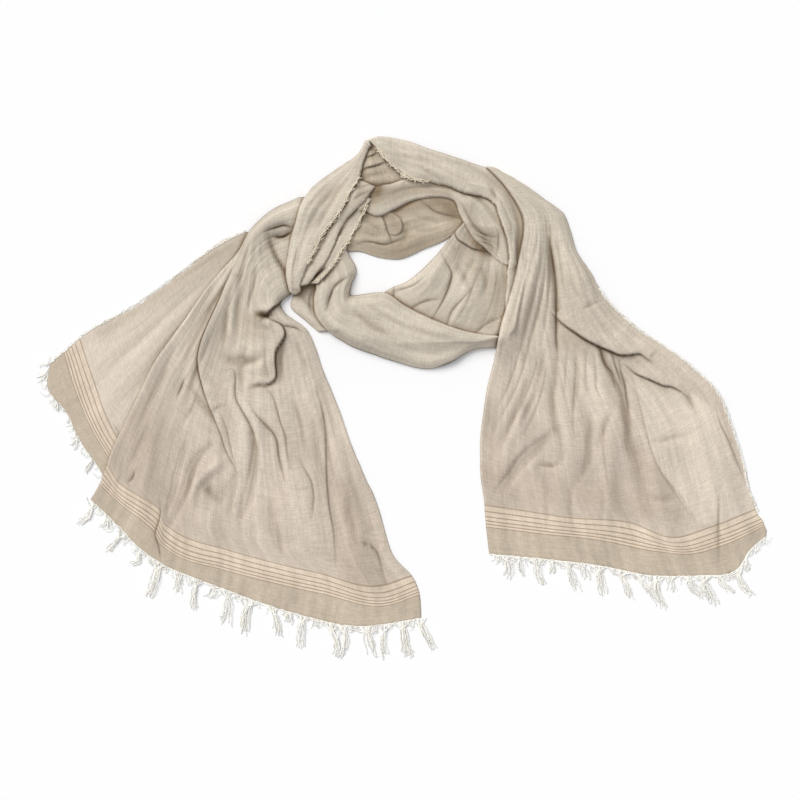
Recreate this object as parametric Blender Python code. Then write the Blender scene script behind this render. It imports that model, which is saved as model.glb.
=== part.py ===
"""Linen scarf, wound once into a loop and laid flat with both ends spread out.

One woven panel, 750 x 2000 mm, is modelled as the stretches of it that show.
Each stretch is a closed loft through plan sections. Later stretches are draped
over the earlier ones, so the pile has the layers of the real one. Run it with
blender --background --python part.py, or from the text editor.
"""

import math
from collections import namedtuple

import bpy
import numpy as np
from mathutils import Vector
from mathutils.bvhtree import BVHTree

# Driving dimensions, in millimetres. +X points to the right end, +Y to the top
# of the loop, and +Z up from what the scarf lies on.
MM = 0.001
PLAN_MIDDLE = (-1.6, -0.2)  # middle of the laid-out scarf in the tables' plan
WALL = 1.4  # one or two layers of gauze, pressed together
SEAM_GAP = 0.3  # between one stretch and what it lies on or beside
REST_CLEARANCE = 0.5  # at the highest point of what a stretch rests on
LIP_GROOVE = 1.6  # depth of the groove between the layers at a heap's edge
END_CELL = (12.5, 18.0)  # size of a face across and along the spread ends
LOOP_CELL = (9.0, 11.0)  # the same on the narrow stretches of the loop
SETTLE_ROUNDS = 4  # how far a sheet bridges the step beside what it lies on

FRINGE_STRIP = 3.0  # width of the woven edge that holds the fringe
STRIP_GAP = 0.5  # from the hem to that strip
FRINGE_LIFT = 0.6  # from the floor to the underside of a strand
STRAND_ROOT = 2.4  # width of a strand where it leaves the strip
STRAND_TIP = 0.9
STRAND_PITCH = 3.6
STRANDS_PER_TASSEL = 3
GATHER = 0.5  # how far the strands of a tassel close up towards their tips

# Columns of the tables. rise is the height of a section over what it lies on,
# fill is 1 where the hidden layers fill it down to that and 0 for a bare wall,
# across holds its plan points from one edge of the stretch to the other.
Section = namedtuple("Section", "place rise fill across")
Fold = namedtuple("Fold", "place start bend end width height")
Stretch = namedtuple("Stretch", "name colour cell shoulder lip sections folds")
Tassel = namedtuple("Tassel", "along length lean")

LINEN_DOUBLE = (0.57, 0.49, 0.38)
LINEN_SINGLE = (0.68, 0.60, 0.49)
LINEN_SHADED = (0.50, 0.42, 0.32)
FRINGE_THREAD = (0.80, 0.77, 0.68)

LEFT_UNDER_SECTIONS = (
    Section("under the front", 1.0, 0, ((-166, 202), (-151, 166))),
    Section("shoulder", 1.5, 0, ((-192, 200), (-175, 156))),
    Section("upper", 2.0, 0, ((-222, 186), (-202, 122))),
    Section("upper middle", 2.5, 0, ((-252, 161), (-230, 82))),
    Section("middle", 2.5, 0, ((-288, 134), (-257, 43))),
    Section("lower middle", 2.0, 0, ((-324, 108), (-283, 0))),
    Section("lower", 2.0, 0, ((-360, 92), (-348, 38), (-312, -46))),
    Section("stripes begin", 1.5, 0, ((-386, 73), (-370, 26), (-353, -22), (-324, -74))),
    Section("stripes end", 1.2, 0, ((-404, 58), (-391, 14), (-370, -36), (-336, -91))),
    Section(
        "hem", 0.8, 0,
        (
            (-421, 44), (-424, 16), (-402, -14), (-383, -52), (-362, -82), (-350, -103),
        ),
    ),
)

LEFT_FRONT_SECTIONS = (
    Section("under the lapel", 9, 1, ((-94, 238), (-106, 186), (-118, 137))),
    Section("at the lapel", 12, 1, ((-115, 244), (-122, 186), (-125, 132))),
    Section("strand", 13, 1, ((-134, 238), (-144, 186), (-134, 126))),
    Section("strand end", 13, 0.9, ((-156, 227), (-163, 186), (-158, 146), (-142, 120))),
    Section("spreads", 11, 0.6, ((-179, 206), (-180, 166), (-168, 134), (-144, 113))),
    Section("neck", 9, 0.3, ((-194, 179), (-188, 142), (-170, 116), (-137, 103))),
    Section("shoulder", 7, 0, ((-214, 156), (-202, 116), (-175, 90), (-142, 82), (-114, 86))),
    Section("upper", 5, 0, ((-234, 132), (-214, 90), (-182, 62), (-140, 54), (-103, 65))),
    Section("fan 1", 4, 0, ((-256, 100), (-226, 54), (-180, 29), (-132, 24), (-94, 38))),
    Section("fan 2", 3.5, 0, ((-276, 72), (-234, 22), (-178, -2), (-126, -5), (-84, 14))),
    Section("fan 3", 3, 0, ((-294, 47), (-245, -6), (-180, -34), (-120, -36), (-74, -11))),
    Section("fan 4", 3, 0, ((-311, 13), (-252, -42), (-184, -72), (-116, -74), (-61, -49))),
    Section("fan 5", 2.5, 0, ((-331, -28), (-266, -84), (-186, -115), (-108, -120), (-42, -94))),
    Section("fan 6", 2.5, 0, ((-346, -60), (-276, -124), (-192, -154), (-106, -162), (-25, -134))),
    Section("fan 7", 2.5, 0, ((-349, -68), (-278, -136), (-191, -169), (-102, -186), (-11, -182))),
    Section(
        "stripes begin", 2, 0,
        (
            (-352, -76), (-310, -118), (-274, -157), (-210, -179), (-102, -206), (-24, -221),
            (14, -210),
        ),
    ),
    Section(
        "stripes end", 1.6, 0,
        (
            (-360, -98), (-324, -130), (-288, -162), (-240, -192), (-96, -230), (-18, -244),
            (22, -230),
        ),
    ),
    Section(
        "hem", 1.4, 0,
        (
            (-372, -120), (-344, -146), (-306, -186), (-222, -223), (-138, -253), (-46, -272),
            (25, -262),
        ),
    ),
)

RIGHT_SECTIONS = (
    Section("tip", 3, 1, ((104, 280), (110, 280), (116, 278))),
    Section("over the crown", 7, 1, ((122, 262), (133, 262), (145, 262))),
    Section("shoulder top", 10, 1, ((138, 240), (156, 242), (175, 241))),
    Section("shoulder", 11, 1, ((148, 220), (172, 224), (197, 223))),
    Section("strand", 11, 0.9, ((149, 202), (175, 200), (205, 204))),
    Section("spreads", 10, 0.6, ((145, 181), (178, 173), (212, 179))),
    Section("neck", 9, 0.3, ((139, 151), (180, 138), (229, 154))),
    Section("fan 1", 8, 0, ((130, 119), (187, 98), (248, 121))),
    Section("fan 2", 7, 0, ((120, 84), (192, 58), (250, 66), (283, 89))),
    Section("fan 3", 5.5, 0, ((114, 50), (186, 20), (264, 31), (319, 64))),
    Section("fan 4", 4.5, 0, ((108, 19), (180, -16), (266, -8), (324, 16), (356, 36))),
    Section("fan 5", 3.5, 0, ((102, -13), (180, -49), (270, -48), (342, -22), (383, 8))),
    Section("fan 6", 3, 0, ((100, -48), (180, -82), (274, -86), (354, -56), (398, -29))),
    Section("fan 7", 2.5, 0, ((100, -84), (180, -108), (274, -119), (360, -92), (412, -72))),
    Section(
        "stripes begin", 2, 0,
        (
            (104, -127), (144, -133), (204, -142), (276, -148), (330, -166), (372, -154),
            (428, -132),
        ),
    ),
    Section(
        "stripes end", 1.6, 0,
        (
            (107, -152), (168, -160), (240, -168), (312, -182), (346, -185), (394, -172),
            (439, -151),
        ),
    ),
    Section(
        "hem", 1.4, 0,
        (
            (110, -185), (174, -191), (240, -199), (306, -211), (354, -211), (406, -203),
            (422, -179), (440, -164),
        ),
    ),
)

NAPE_SECTIONS = (
    Section("under the lapel", 4, 1, ((-60, 236), (-64, 206), (-68, 178))),
    Section("left", 5, 1, ((-46, 238), (-48, 206), (-50, 179))),
    Section("pleat", 6, 1, ((-24, 241), (-25, 206), (-26, 172))),
    Section("middle", 6, 1, ((0, 247), (0, 206), (0, 170))),
    Section("right", 6, 1, ((30, 252), (29, 216), (29, 182))),
    Section("under the roll", 5, 1, ((60, 252), (58, 222), (53, 192))),
    Section("end", 4, 1, ((86, 242), (83, 224), (74, 206))),
)

STRAND_SECTIONS = (
    Section("under the roll", 5, 1, ((77, 214), (98, 209), (120, 206))),
    Section("pit", 6, 1, ((60, 194), (90, 175), (126, 180))),
    Section("upper", 9, 1, ((43, 173), (77, 140), (130, 150))),
    Section("middle", 10, 1, ((26, 156), (62, 113), (130, 115))),
    Section("lower", 9, 1, ((10, 143), (43, 92), (120, 79))),
    Section("under the front", 7, 1, ((-11, 134), (10, 90), (55, 67))),
    Section("end", 5, 1, ((-31, 120), (-22, 91), (-5, 66))),
)

APEX_SECTIONS = (
    Section("point", 3, 1, ((-40, 304), (-36, 304), (-31, 302))),
    Section("upper", 4, 1, ((-46, 293), (-34, 292), (-19, 288))),
    Section("middle", 5, 1, ((-50, 280), (-31, 276), (-5, 276))),
    Section("lower", 5, 1, ((-55, 266), (-30, 263), (4, 266))),
    Section("under the roll", 4, 1, ((-58, 252), (-29, 250), (2, 254))),
)

TUCK_SECTIONS = (
    Section("under the lapel", 5, 1, ((-120, 146), (-98, 142), (-78, 134))),
    Section("upper", 6, 1, ((-128, 124), (-110, 120), (-90, 116))),
    Section("middle", 6, 1, ((-131, 112), (-110, 107), (-89, 103))),
    Section("lower", 6, 1, ((-115, 97), (-102, 96), (-84, 94))),
    Section("under the front", 5, 1, ((-98, 82), (-89, 83), (-74, 84))),
)

ROLL_SECTIONS = (
    Section("under the lapel", 4, 1, ((-52, 254), (-52, 245), (-48, 233))),
    Section("left", 6, 1, ((-26, 264), (-31, 242), (-28, 221))),
    Section("rising", 7, 1, ((-8, 270), (-10, 250), (-7, 229))),
    Section("over the nape", 7, 1, ((14, 275), (13, 256), (13, 239))),
    Section("middle", 7, 1, ((41, 272), (40, 257), (41, 244))),
    Section("widens", 8, 1, ((70, 264), (66, 251), (65, 239))),
    Section("pillow", 10, 1, ((96, 254), (84, 238), (72, 223))),
    Section("pillow end", 10, 1, ((119, 240), (98, 223), (80, 208))),
    Section("turns under", 7, 1, ((128, 216), (110, 205), (91, 194))),
    Section("pit", 4, 1, ((130, 191), (118, 187), (106, 185))),
)

FRONT_SECTIONS = (
    Section("under the lapel", 6, 1, ((-72, 192), (-92, 173), (-113, 154))),
    Section("beside the hole", 9, 1, ((-62, 175), (-80, 157), (-101, 138))),
    Section("left", 12, 1, ((-53, 158), (-77, 140), (-103, 121))),
    Section("turn", 13, 1, ((-59, 138), (-76, 122), (-100, 100))),
    Section("corner", 13, 1, ((-60, 126), (-71, 106), (-86, 83))),
    Section("bib left", 14, 1, ((-44, 127), (-54, 96), (-64, 68))),
    Section("bib", 15, 1, ((-17, 128), (-24, 90), (-31, 55))),
    Section("bib right", 14, 1, ((6, 113), (1, 78), (-4, 46))),
    Section("lowest", 12, 1, ((38, 97), (34, 65), (31, 36))),
    Section("right", 10, 1, ((72, 84), (65, 62), (59, 42))),
    Section("narrows", 7, 1, ((102, 78), (95, 67), (90, 58))),
    Section("under the end", 4, 1, ((127, 76), (122, 70), (118, 64))),
)

CROWN_SECTIONS = (
    Section("apex", 3, 1, ((-43, 310), (-41, 306), (-38, 302))),
    Section("rising", 6, 1, ((-29, 313), (-28, 305), (-26, 296))),
    Section("left", 8, 1, ((-12, 312), (-12, 298), (-11, 282))),
    Section("left middle", 10, 1, ((10, 308), (10, 288), (10, 268))),
    Section("middle", 11, 1, ((34, 302), (34, 282), (32, 262))),
    Section("right middle", 11, 1, ((60, 294), (60, 276), (58, 257))),
    Section("right", 10, 1, ((89, 284), (84, 265), (77, 248))),
    Section("bend", 9, 1, ((112, 275), (103, 259), (96, 245))),
    Section("turns down", 7, 1, ((132, 257), (121, 245), (113, 236))),
    Section("strip", 6, 1, ((146, 232), (132, 224), (119, 221))),
    Section("strip middle", 5, 1, ((154, 206), (140, 203), (127, 200))),
    Section("strip lower", 5, 1, ((152, 178), (142, 178), (131, 178))),
    Section("strip narrows", 4, 1, ((145, 144), (137, 144), (128, 144))),
    Section("strip end", 3, 1, ((137, 118), (132, 118), (126, 118))),
)

LAPEL_UNDER_SECTIONS = (
    Section("top", 4, 1, ((-65, 247), (-50, 246), (-36, 242))),
    Section("upper", 4, 1, ((-71, 230), (-55, 230), (-41, 230))),
    Section("fray", 4, 1, ((-79, 214), (-64, 215), (-48, 217))),
    Section("middle", 4, 1, ((-89, 194), (-73, 197), (-58, 199))),
    Section("lower", 4, 1, ((-97, 176), (-83, 178), (-70, 180))),
    Section("narrows", 4, 1, ((-107, 160), (-92, 160), (-80, 161))),
    Section("end", 3, 1, ((-119, 143), (-108, 140), (-98, 140))),
)

LAPEL_INNER_SECTIONS = (
    Section("top", 4, 1, ((-60, 270), (-44, 266), (-26, 259))),
    Section("gathers", 5, 1, ((-67, 252), (-49, 252), (-32, 247))),
    Section("upper", 5, 1, ((-79, 233), (-61, 234), (-47, 234))),
    Section("middle", 5, 1, ((-91, 212), (-77, 216), (-64, 217))),
    Section("lower middle", 5, 1, ((-106, 192), (-90, 194), (-76, 196))),
    Section("lower", 4, 1, ((-115, 173), (-100, 174), (-85, 173))),
    Section("narrows", 4, 1, ((-122, 156), (-110, 156), (-97, 155))),
    Section("end", 3, 1, ((-128, 139), (-120, 137), (-110, 139))),
)

LAPEL_SECTIONS = (
    Section("apex", 4, 1, ((-43, 311), (-37, 310), (-31, 307))),
    Section("ridge", 5, 1, ((-55, 293), (-48, 295), (-41, 298))),
    Section("upper", 6, 1, ((-73, 278), (-59, 278), (-46, 281))),
    Section("shoulder", 7, 1, ((-95, 264), (-72, 264), (-49, 265))),
    Section("widest", 7, 1, ((-110, 250), (-84, 248), (-60, 251))),
    Section("outer edge", 7, 1, ((-119, 232), (-94, 232), (-68, 233))),
    Section("middle", 6, 1, ((-124, 214), (-102, 214), (-80, 215))),
    Section("lower middle", 6, 1, ((-130, 194), (-112, 193), (-96, 193))),
    Section("lower", 5, 1, ((-134, 173), (-120, 172), (-106, 172))),
    Section("narrows", 4, 1, ((-136, 151), (-125, 150), (-115, 151))),
    Section("end", 3, 1, ((-132, 130), (-126, 127), (-121, 130))),
)

# Folds of each stretch, as soft ridges (height over 0) and troughs (under 0)
# along a curve from start to end that the bend point pulls towards itself.
LEFT_UNDER_FOLDS = (
    Fold("edge to hem", (-210, 185), (-300, 108), (-396, 18), 14, 1.8),
    Fold("inner wave", (-222, 150), (-300, 66), (-366, -24), 12, 1.5),
)

LEFT_FRONT_FOLDS = (
    Fold("strand ridge", (-120, 222), (-166, 214), (-185, 166), 13, 4),
    Fold("strand trough", (-120, 202), (-154, 192), (-140, 154), 11, -4),
    Fold("lapped pleat", (-188, 166), (-242, 90), (-226, 0), 13, 4.5),
    Fold("lapped pleat end", (-226, 0), (-209, -48), (-194, -96), 14, 3),
    Fold("drape", (-178, 98), (-166, 60), (-170, 26), 16, 5),
    Fold("drape edge", (-158, 94), (-132, 66), (-155, 20), 10, -3.5),
    Fold("long ridge", (-206, 38), (-197, -36), (-192, -84), 13, 3.5),
    Fold("long trough", (-192, 0), (-166, -60), (-188, -138), 12, -2.6),
    Fold("left ridge", (-266, 0), (-300, -60), (-312, -108), 15, 2.8),
    Fold("left trough", (-238, -62), (-259, -103), (-266, -146), 12, -2.6),
    Fold("middle ridge", (-154, 0), (-130, -72), (-125, -204), 16, 2.8),
    Fold("right trough", (-94, 0), (-90, -96), (-79, -199), 13, -2.8),
    Fold("right ridge", (-113, 48), (-67, -72), (-46, -228), 15, 3),
    Fold("left hem ridge", (-240, -84), (-234, -144), (-230, -210), 14, 2.6),
    Fold("hem pleat", (-269, -120), (-278, -156), (-278, -194), 10, 2.6),
)

RIGHT_FOLDS = (
    Fold("inner ridge", (162, 222), (162, 166), (130, 66), 15, 4.5),
    Fold("shoulder trough", (182, 202), (187, 132), (188, 66), 11, -4),
    Fold("outer ridge", (199, 192), (222, 132), (266, 82), 14, 4),
    Fold("flap", (194, 82), (240, 46), (288, 41), 15, 4.5),
    Fold("flap shadow", (194, 66), (245, 31), (295, 19), 9, -2.8),
    Fold("long trough", (262, 41), (274, -12), (277, -84), 13, -3),
    Fold("long ridge", (245, 24), (254, -48), (240, -174), 16, 3.2),
    Fold("second ridge", (288, 0), (307, -84), (298, -192), 16, 2.8),
    Fold("inner streak", (156, 24), (130, -48), (120, -144), 14, 2.6),
    Fold("inner trough", (182, -12), (178, -48), (130, -113), 12, -2.6),
    Fold("middle ridge", (206, 24), (199, -72), (192, -174), 16, 2.6),
    Fold("outer wave", (336, 0), (374, -84), (394, -168), 15, 2.4),
    Fold("stripe dip", (341, -144), (336, -178), (334, -206), 12, -1.4),
)

NAPE_FOLDS = (
    Fold("pleat", (-19, 223), (-14, 209), (-5, 197), 9, 2.2),
    Fold("level fold", (-58, 190), (-30, 190), (0, 188), 9, -1.8),
)

STRAND_FOLDS = (
    Fold("first ridge", (48, 166), (36, 144), (2, 125), 9, 2.6),
    Fold("first trough", (58, 166), (62, 132), (34, 94), 8, -3),
    Fold("second ridge", (82, 166), (77, 120), (58, 84), 9, 2.6),
    Fold("second trough", (98, 166), (101, 120), (91, 79), 8, -3),
)

ROLL_FOLDS = (
    Fold("long fold", (-19, 235), (24, 254), (74, 245), 7, -1.6),
    Fold("pillow fold", (74, 233), (94, 202), (120, 194), 8, -3),
)

FRONT_FOLDS = (
    Fold("bib ridge", (-70, 132), (-72, 90), (0, 66), 12, 3),
    Fold("hole edge", (-58, 154), (-79, 130), (-86, 102), 9, -3),
    Fold("layer edge", (0, 67), (43, 50), (89, 67), 8, -2.8),
)

CROWN_FOLDS = (
    Fold("long ridge", (-18, 302), (36, 290), (101, 264), 11, 2.6),
    Fold("short trough", (26, 278), (38, 269), (53, 263), 7, -2.4),
    Fold("bend trough", (48, 278), (84, 262), (115, 242), 7, -3),
)

LAPEL_FOLDS = (
    Fold("outer ridge", (-66, 274), (-110, 240), (-121, 180), 10, 2.4),
    Fold("inner trough", (-58, 269), (-84, 234), (-110, 186), 8, -2.4),
)

# In the order in which they lie, lowest first.
LOOP_SHOULDER = 13
END_SHOULDER = 16
STRETCHES = (
    Stretch(
        "left_end_under", LINEN_SINGLE, END_CELL, END_SHOULDER,
        1.4, LEFT_UNDER_SECTIONS, LEFT_UNDER_FOLDS,
    ),
    Stretch("nape_panel", LINEN_SHADED, LOOP_CELL, LOOP_SHOULDER, 2.6, NAPE_SECTIONS, NAPE_FOLDS),
    Stretch("apex_lining", LINEN_SHADED, LOOP_CELL, LOOP_SHOULDER, 2.6, APEX_SECTIONS, ()),
    Stretch(
        "inner_strand", LINEN_DOUBLE, LOOP_CELL, LOOP_SHOULDER,
        3.6, STRAND_SECTIONS, STRAND_FOLDS,
    ),
    Stretch("tuck", LINEN_SHADED, LOOP_CELL, LOOP_SHOULDER, 3.4, TUCK_SECTIONS, ()),
    Stretch(
        "left_end_front", LINEN_DOUBLE, END_CELL, END_SHOULDER,
        3.2, LEFT_FRONT_SECTIONS, LEFT_FRONT_FOLDS,
    ),
    Stretch("collar_roll", LINEN_DOUBLE, LOOP_CELL, LOOP_SHOULDER, 4.0, ROLL_SECTIONS, ROLL_FOLDS),
    Stretch("front_band", LINEN_DOUBLE, LOOP_CELL, LOOP_SHOULDER, 4.4, FRONT_SECTIONS, FRONT_FOLDS),
    Stretch("crown_band", LINEN_DOUBLE, LOOP_CELL, LOOP_SHOULDER, 4.0, CROWN_SECTIONS, CROWN_FOLDS),
    Stretch("lapel_under", LINEN_DOUBLE, LOOP_CELL, LOOP_SHOULDER, 2.4, LAPEL_UNDER_SECTIONS, ()),
    Stretch("lapel_inner", LINEN_DOUBLE, LOOP_CELL, LOOP_SHOULDER, 2.4, LAPEL_INNER_SECTIONS, ()),
    Stretch("lapel", LINEN_SINGLE, LOOP_CELL, LOOP_SHOULDER, 3.0, LAPEL_SECTIONS, LAPEL_FOLDS),
    Stretch("right_end", LINEN_DOUBLE, END_CELL, END_SHOULDER, 3.2, RIGHT_SECTIONS, RIGHT_FOLDS),
)

# along is the share of the hem's length, length is in millimetres, and lean is
# how far the tip swings towards the hem's far end.
LEFT_FRINGE = (
    Tassel(0.03, 34, -8), Tassel(0.13, 26, -4), Tassel(0.24, 36, -6), Tassel(0.31, 38, 4),
    Tassel(0.37, 32, -6), Tassel(0.43, 34, 3), Tassel(0.49, 38, 6), Tassel(0.545, 40, -5),
    Tassel(0.60, 28, 4), Tassel(0.68, 32, -4), Tassel(0.755, 36, 3), Tassel(0.81, 30, 6),
    Tassel(0.86, 38, -4), Tassel(0.905, 34, 2), Tassel(0.945, 38, 5), Tassel(0.98, 36, 10),
)
LEFT_UNDER_FRINGE = (
    Tassel(0.06, 18, -6), Tassel(0.30, 9, 2), Tassel(0.60, 12, 4), Tassel(0.78, 14, 5),
)
RIGHT_FRINGE = (
    Tassel(0.04, 30, -4), Tassel(0.10, 28, 5), Tassel(0.17, 30, -3), Tassel(0.24, 32, 4),
    Tassel(0.33, 34, -4), Tassel(0.41, 36, 4), Tassel(0.49, 36, -5), Tassel(0.56, 38, 3),
    Tassel(0.64, 32, -3), Tassel(0.71, 36, 5), Tassel(0.80, 38, 4),
)

Fringe = namedtuple("Fringe", "name first last tassels")
FRINGES = {
    "left_end_under": Fringe("fringe_left_under", 0.02, 0.84, LEFT_UNDER_FRINGE),
    "left_end_front": Fringe("fringe_left_front", 0.005, 0.995, LEFT_FRINGE),
    "right_end": Fringe("fringe_right", 0.005, 0.84, RIGHT_FRINGE),
}


def spline(knots, values, at):
    """Smooth curve through values at uneven knots, read at the points of at."""
    knots = np.asarray(knots, float)
    values = np.asarray(values, float)
    slopes = np.gradient(values, knots, axis=0)
    index = np.clip(np.searchsorted(knots, at, side="right") - 1, 0, len(knots) - 2)
    step = knots[index + 1] - knots[index]
    t = (at - knots[index]) / step
    shape = (-1,) + (1,) * (values.ndim - 1)
    t, step = t.reshape(shape), step.reshape(shape)
    start = (1 + 2 * t) * (1 - t) ** 2 * values[index] + t * (1 - t) ** 2 * step * slopes[index]
    end = t * t * (3 - 2 * t) * values[index + 1] - t * t * (1 - t) * step * slopes[index + 1]
    return start + end


def lengths_along(points):
    """Distance along a row of points, starting at 0."""
    return np.concatenate([[0.0], np.cumsum(np.linalg.norm(np.diff(points, axis=0), axis=1))])


def plan_of(stretch):
    """Plan grid (along, across, 2) with the rise and the fill of each of its rows."""
    rows = [np.array(section.across, float) for section in stretch.sections]
    widest = max(lengths_along(row)[-1] for row in rows)
    shares = np.linspace(0, 1, max(4, round(widest / stretch.cell[0])) + 1)
    sampled = np.array([spline(lengths_along(row), row, shares * lengths_along(row)[-1]) for row in rows])
    steps = np.linalg.norm(np.diff(sampled, axis=0), axis=2).mean(axis=1)
    knots = np.concatenate([[0.0], np.cumsum(steps)])
    stations = np.linspace(0, knots[-1], max(3, round(knots[-1] / stretch.cell[1])) + 1)
    rise = spline(knots, [section.rise for section in stretch.sections], stations)
    fill = np.interp(stations, knots, [section.fill for section in stretch.sections])
    return spline(knots, sampled, stations), rise, fill


def fold_height(fold, plan):
    """Height that one fold adds at each plan point."""
    start, bend, end = (np.array(point, float) for point in (fold.start, fold.bend, fold.end))
    t = np.linspace(0, 1, 25)[:, None]
    curve = (1 - t) ** 2 * start + 2 * t * (1 - t) * bend + t * t * end
    offsets = np.linalg.norm(plan[..., None, :] - curve, axis=-1)
    nearest = offsets.argmin(axis=-1)
    distance = offsets.min(axis=-1)
    fade = np.sin(np.pi * np.clip(nearest / 24, 0.06, 0.94)) ** 0.5
    return fold.height * fade * np.exp(-((distance / fold.width) ** 2))


def edge_ramp(plan, shoulder):
    """0 at both edges of a stretch, rising round to 1 over its shoulders."""
    steps = np.linalg.norm(np.diff(plan, axis=1), axis=2)
    from_left = np.concatenate([np.zeros((len(plan), 1)), np.cumsum(steps, axis=1)], axis=1)
    width = from_left[:, -1:]
    nearest = np.minimum(from_left, width - from_left)
    reach = np.minimum(shoulder, width / 2)
    return np.sin(np.pi / 2 * np.clip(nearest / np.maximum(reach, 0.001), 0, 1))


def reach_of(plan):
    """The longest side or diagonal of the faces round each point of a plan grid."""
    down = np.linalg.norm(np.diff(plan, axis=0), axis=-1)
    side = np.linalg.norm(np.diff(plan, axis=1), axis=-1)
    slant = np.linalg.norm(plan[1:, 1:] - plan[:-1, :-1], axis=-1)
    cell = np.max([down[:, 1:], down[:, :-1], side[1:], side[:-1], slant], axis=0)
    padded = np.pad(cell, 1)
    return np.max([padded[:-1, :-1], padded[1:, :-1], padded[:-1, 1:], padded[1:, 1:]], axis=0)


def surface_under(plan, lower):
    """Height of what lies under each plan point and the faces that meet there."""
    reach = reach_of(plan)
    turns = np.arange(12) * math.tau / 12
    ring = np.concatenate([[[0.0, 0.0]], np.stack([np.cos(turns), np.sin(turns)], axis=1)])
    floor = np.zeros(plan.shape[:2])
    for tree, points in lower:
        for row, column in np.ndindex(floor.shape):
            here = plan[row, column]
            near = np.linalg.norm(points[:, :2] - here, axis=1) <= reach[row, column]
            heights = list(points[near, 2])
            for x, y in here + ring * reach[row, column]:
                hit = tree.ray_cast(Vector((x, y, 500.0)), Vector((0.0, 0.0, -1.0)))[0]
                heights.append(hit.z if hit is not None else 0.0)
            if max(heights) > 0:
                floor[row, column] = max(floor[row, column], max(heights) + SEAM_GAP)
    return floor


def lowered(plan, floor, lower):
    """The floor let down as one, until it all but touches what lies under it."""
    along, across = floor.shape
    index = np.arange(along * across).reshape(along, across)
    faces = []
    for i in range(along - 1):
        for j in range(across - 1):
            faces += quad(index[i, j], index[i, j + 1], index[i + 1, j + 1], index[i + 1, j])
    grid = np.dstack([plan, floor]).reshape(-1, 3)
    sheet = BVHTree.FromPolygons([Vector(point) for point in grid], faces)
    clearances = [np.inf]
    for tree, points in lower:
        for point in points:
            hit = sheet.ray_cast(Vector(point), Vector((0.0, 0.0, 1.0)))[0]
            clearances.append(hit.z - point[2] if hit is not None else np.inf)
        for x, y, z in grid:
            hit = tree.ray_cast(Vector((x, y, 500.0)), Vector((0.0, 0.0, -1.0)))[0]
            clearances.append(z - hit.z if hit is not None else np.inf)
    slack = min(clearances) - REST_CLEARANCE
    return floor if math.isinf(slack) else (floor - max(slack, 0.0)).clip(0)


def settled(floor):
    """The floor as a cloth lies on it, bridging its steps and never below it."""
    soft = floor.copy()
    for _ in range(SETTLE_ROUNDS):
        padded = np.pad(soft, 1, mode="edge")
        around = padded[:-2, 1:-1] + padded[2:, 1:-1] + padded[1:-1, :-2] + padded[1:-1, 2:]
        soft = np.maximum(floor, around / 4)
    return soft


def solid_of(stretch, lower):
    """Points and triangles of one stretch, in millimetres, and its two faces."""
    plan, rise, fill = plan_of(stretch)
    ramp = edge_ramp(plan, stretch.shoulder)
    floor = lowered(plan, surface_under(plan, lower), lower)
    folds = sum((fold_height(fold, plan) for fold in stretch.folds), np.zeros(floor.shape))
    lip = np.clip(rise, WALL, stretch.lip)[:, None]
    height = lip + (rise[:, None] - lip).clip(0) * ramp + folds * (0.35 + 0.65 * ramp)
    top = np.maximum(settled(floor) + height, floor + WALL)
    filled = np.maximum(fill[:, None], 1 - 2 * ramp)
    under = floor + (1 - filled) * (top - WALL - floor).clip(0)

    along, across = floor.shape
    upper = np.dstack([plan, top]).reshape(-1, 3)
    lower = np.dstack([plan, under]).reshape(-1, 3)
    grooves = []
    for edge, inner in ((0, 1), (-1, -2)):
        inward = plan[:, inner] - plan[:, edge]
        inward /= np.linalg.norm(inward, axis=1, keepdims=True)
        thick = top[:, edge] - under[:, edge]
        depth = np.minimum(LIP_GROOVE, 0.35 * thick)[:, None]
        middle = (top[:, edge] + under[:, edge]) / 2
        grooves.append(np.column_stack([plan[:, edge] + inward * depth, middle]))
    points = np.concatenate([upper, lower, *grooves])

    count = along * across
    above = np.arange(count).reshape(along, across)
    below = above + count
    left = np.arange(along) + 2 * count
    right = left + along
    faces = []
    for i in range(along - 1):
        for j in range(across - 1):
            faces += quad(above[i, j], above[i, j + 1], above[i + 1, j + 1], above[i + 1, j])
            faces += quad(below[i, j], below[i + 1, j], below[i + 1, j + 1], below[i, j + 1])
        faces += quad(above[i, 0], above[i + 1, 0], left[i + 1], left[i])
        faces += quad(left[i], left[i + 1], below[i + 1, 0], below[i, 0])
        faces += quad(above[i + 1, -1], above[i, -1], right[i], right[i + 1])
        faces += quad(right[i + 1], right[i], below[i, -1], below[i + 1, -1])
    for j in range(across - 1):
        faces += quad(above[0, j + 1], above[0, j], below[0, j], below[0, j + 1])
        faces += quad(above[-1, j], above[-1, j + 1], below[-1, j + 1], below[-1, j])
    faces += [(above[0, 0], left[0], below[0, 0]), (below[0, -1], right[0], above[0, -1])]
    faces += [(below[-1, 0], left[-1], above[-1, 0]), (above[-1, -1], right[-1], below[-1, -1])]
    return points, faces, np.dstack([plan, under])[-1]


def quad(a, b, c, d):
    """A four-sided face as two triangles with a fixed diagonal."""
    return [(a, b, c), (a, c, d)]


def hem_frames(hem, places):
    """Points, sideways and outward directions at places along a hem."""
    distance = lengths_along(hem[:, :2])
    here, ahead, behind = (
        np.column_stack([np.interp(places + shift, distance, hem[:, axis]) for axis in range(3)])
        for shift in (0, 2, -2)
    )
    sideways = (ahead - behind) * (1, 1, 0)
    sideways /= np.linalg.norm(sideways, axis=1, keepdims=True)
    outward = np.column_stack([sideways[:, 1], -sideways[:, 0], np.zeros(len(sideways))])
    return here, sideways, outward


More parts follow.
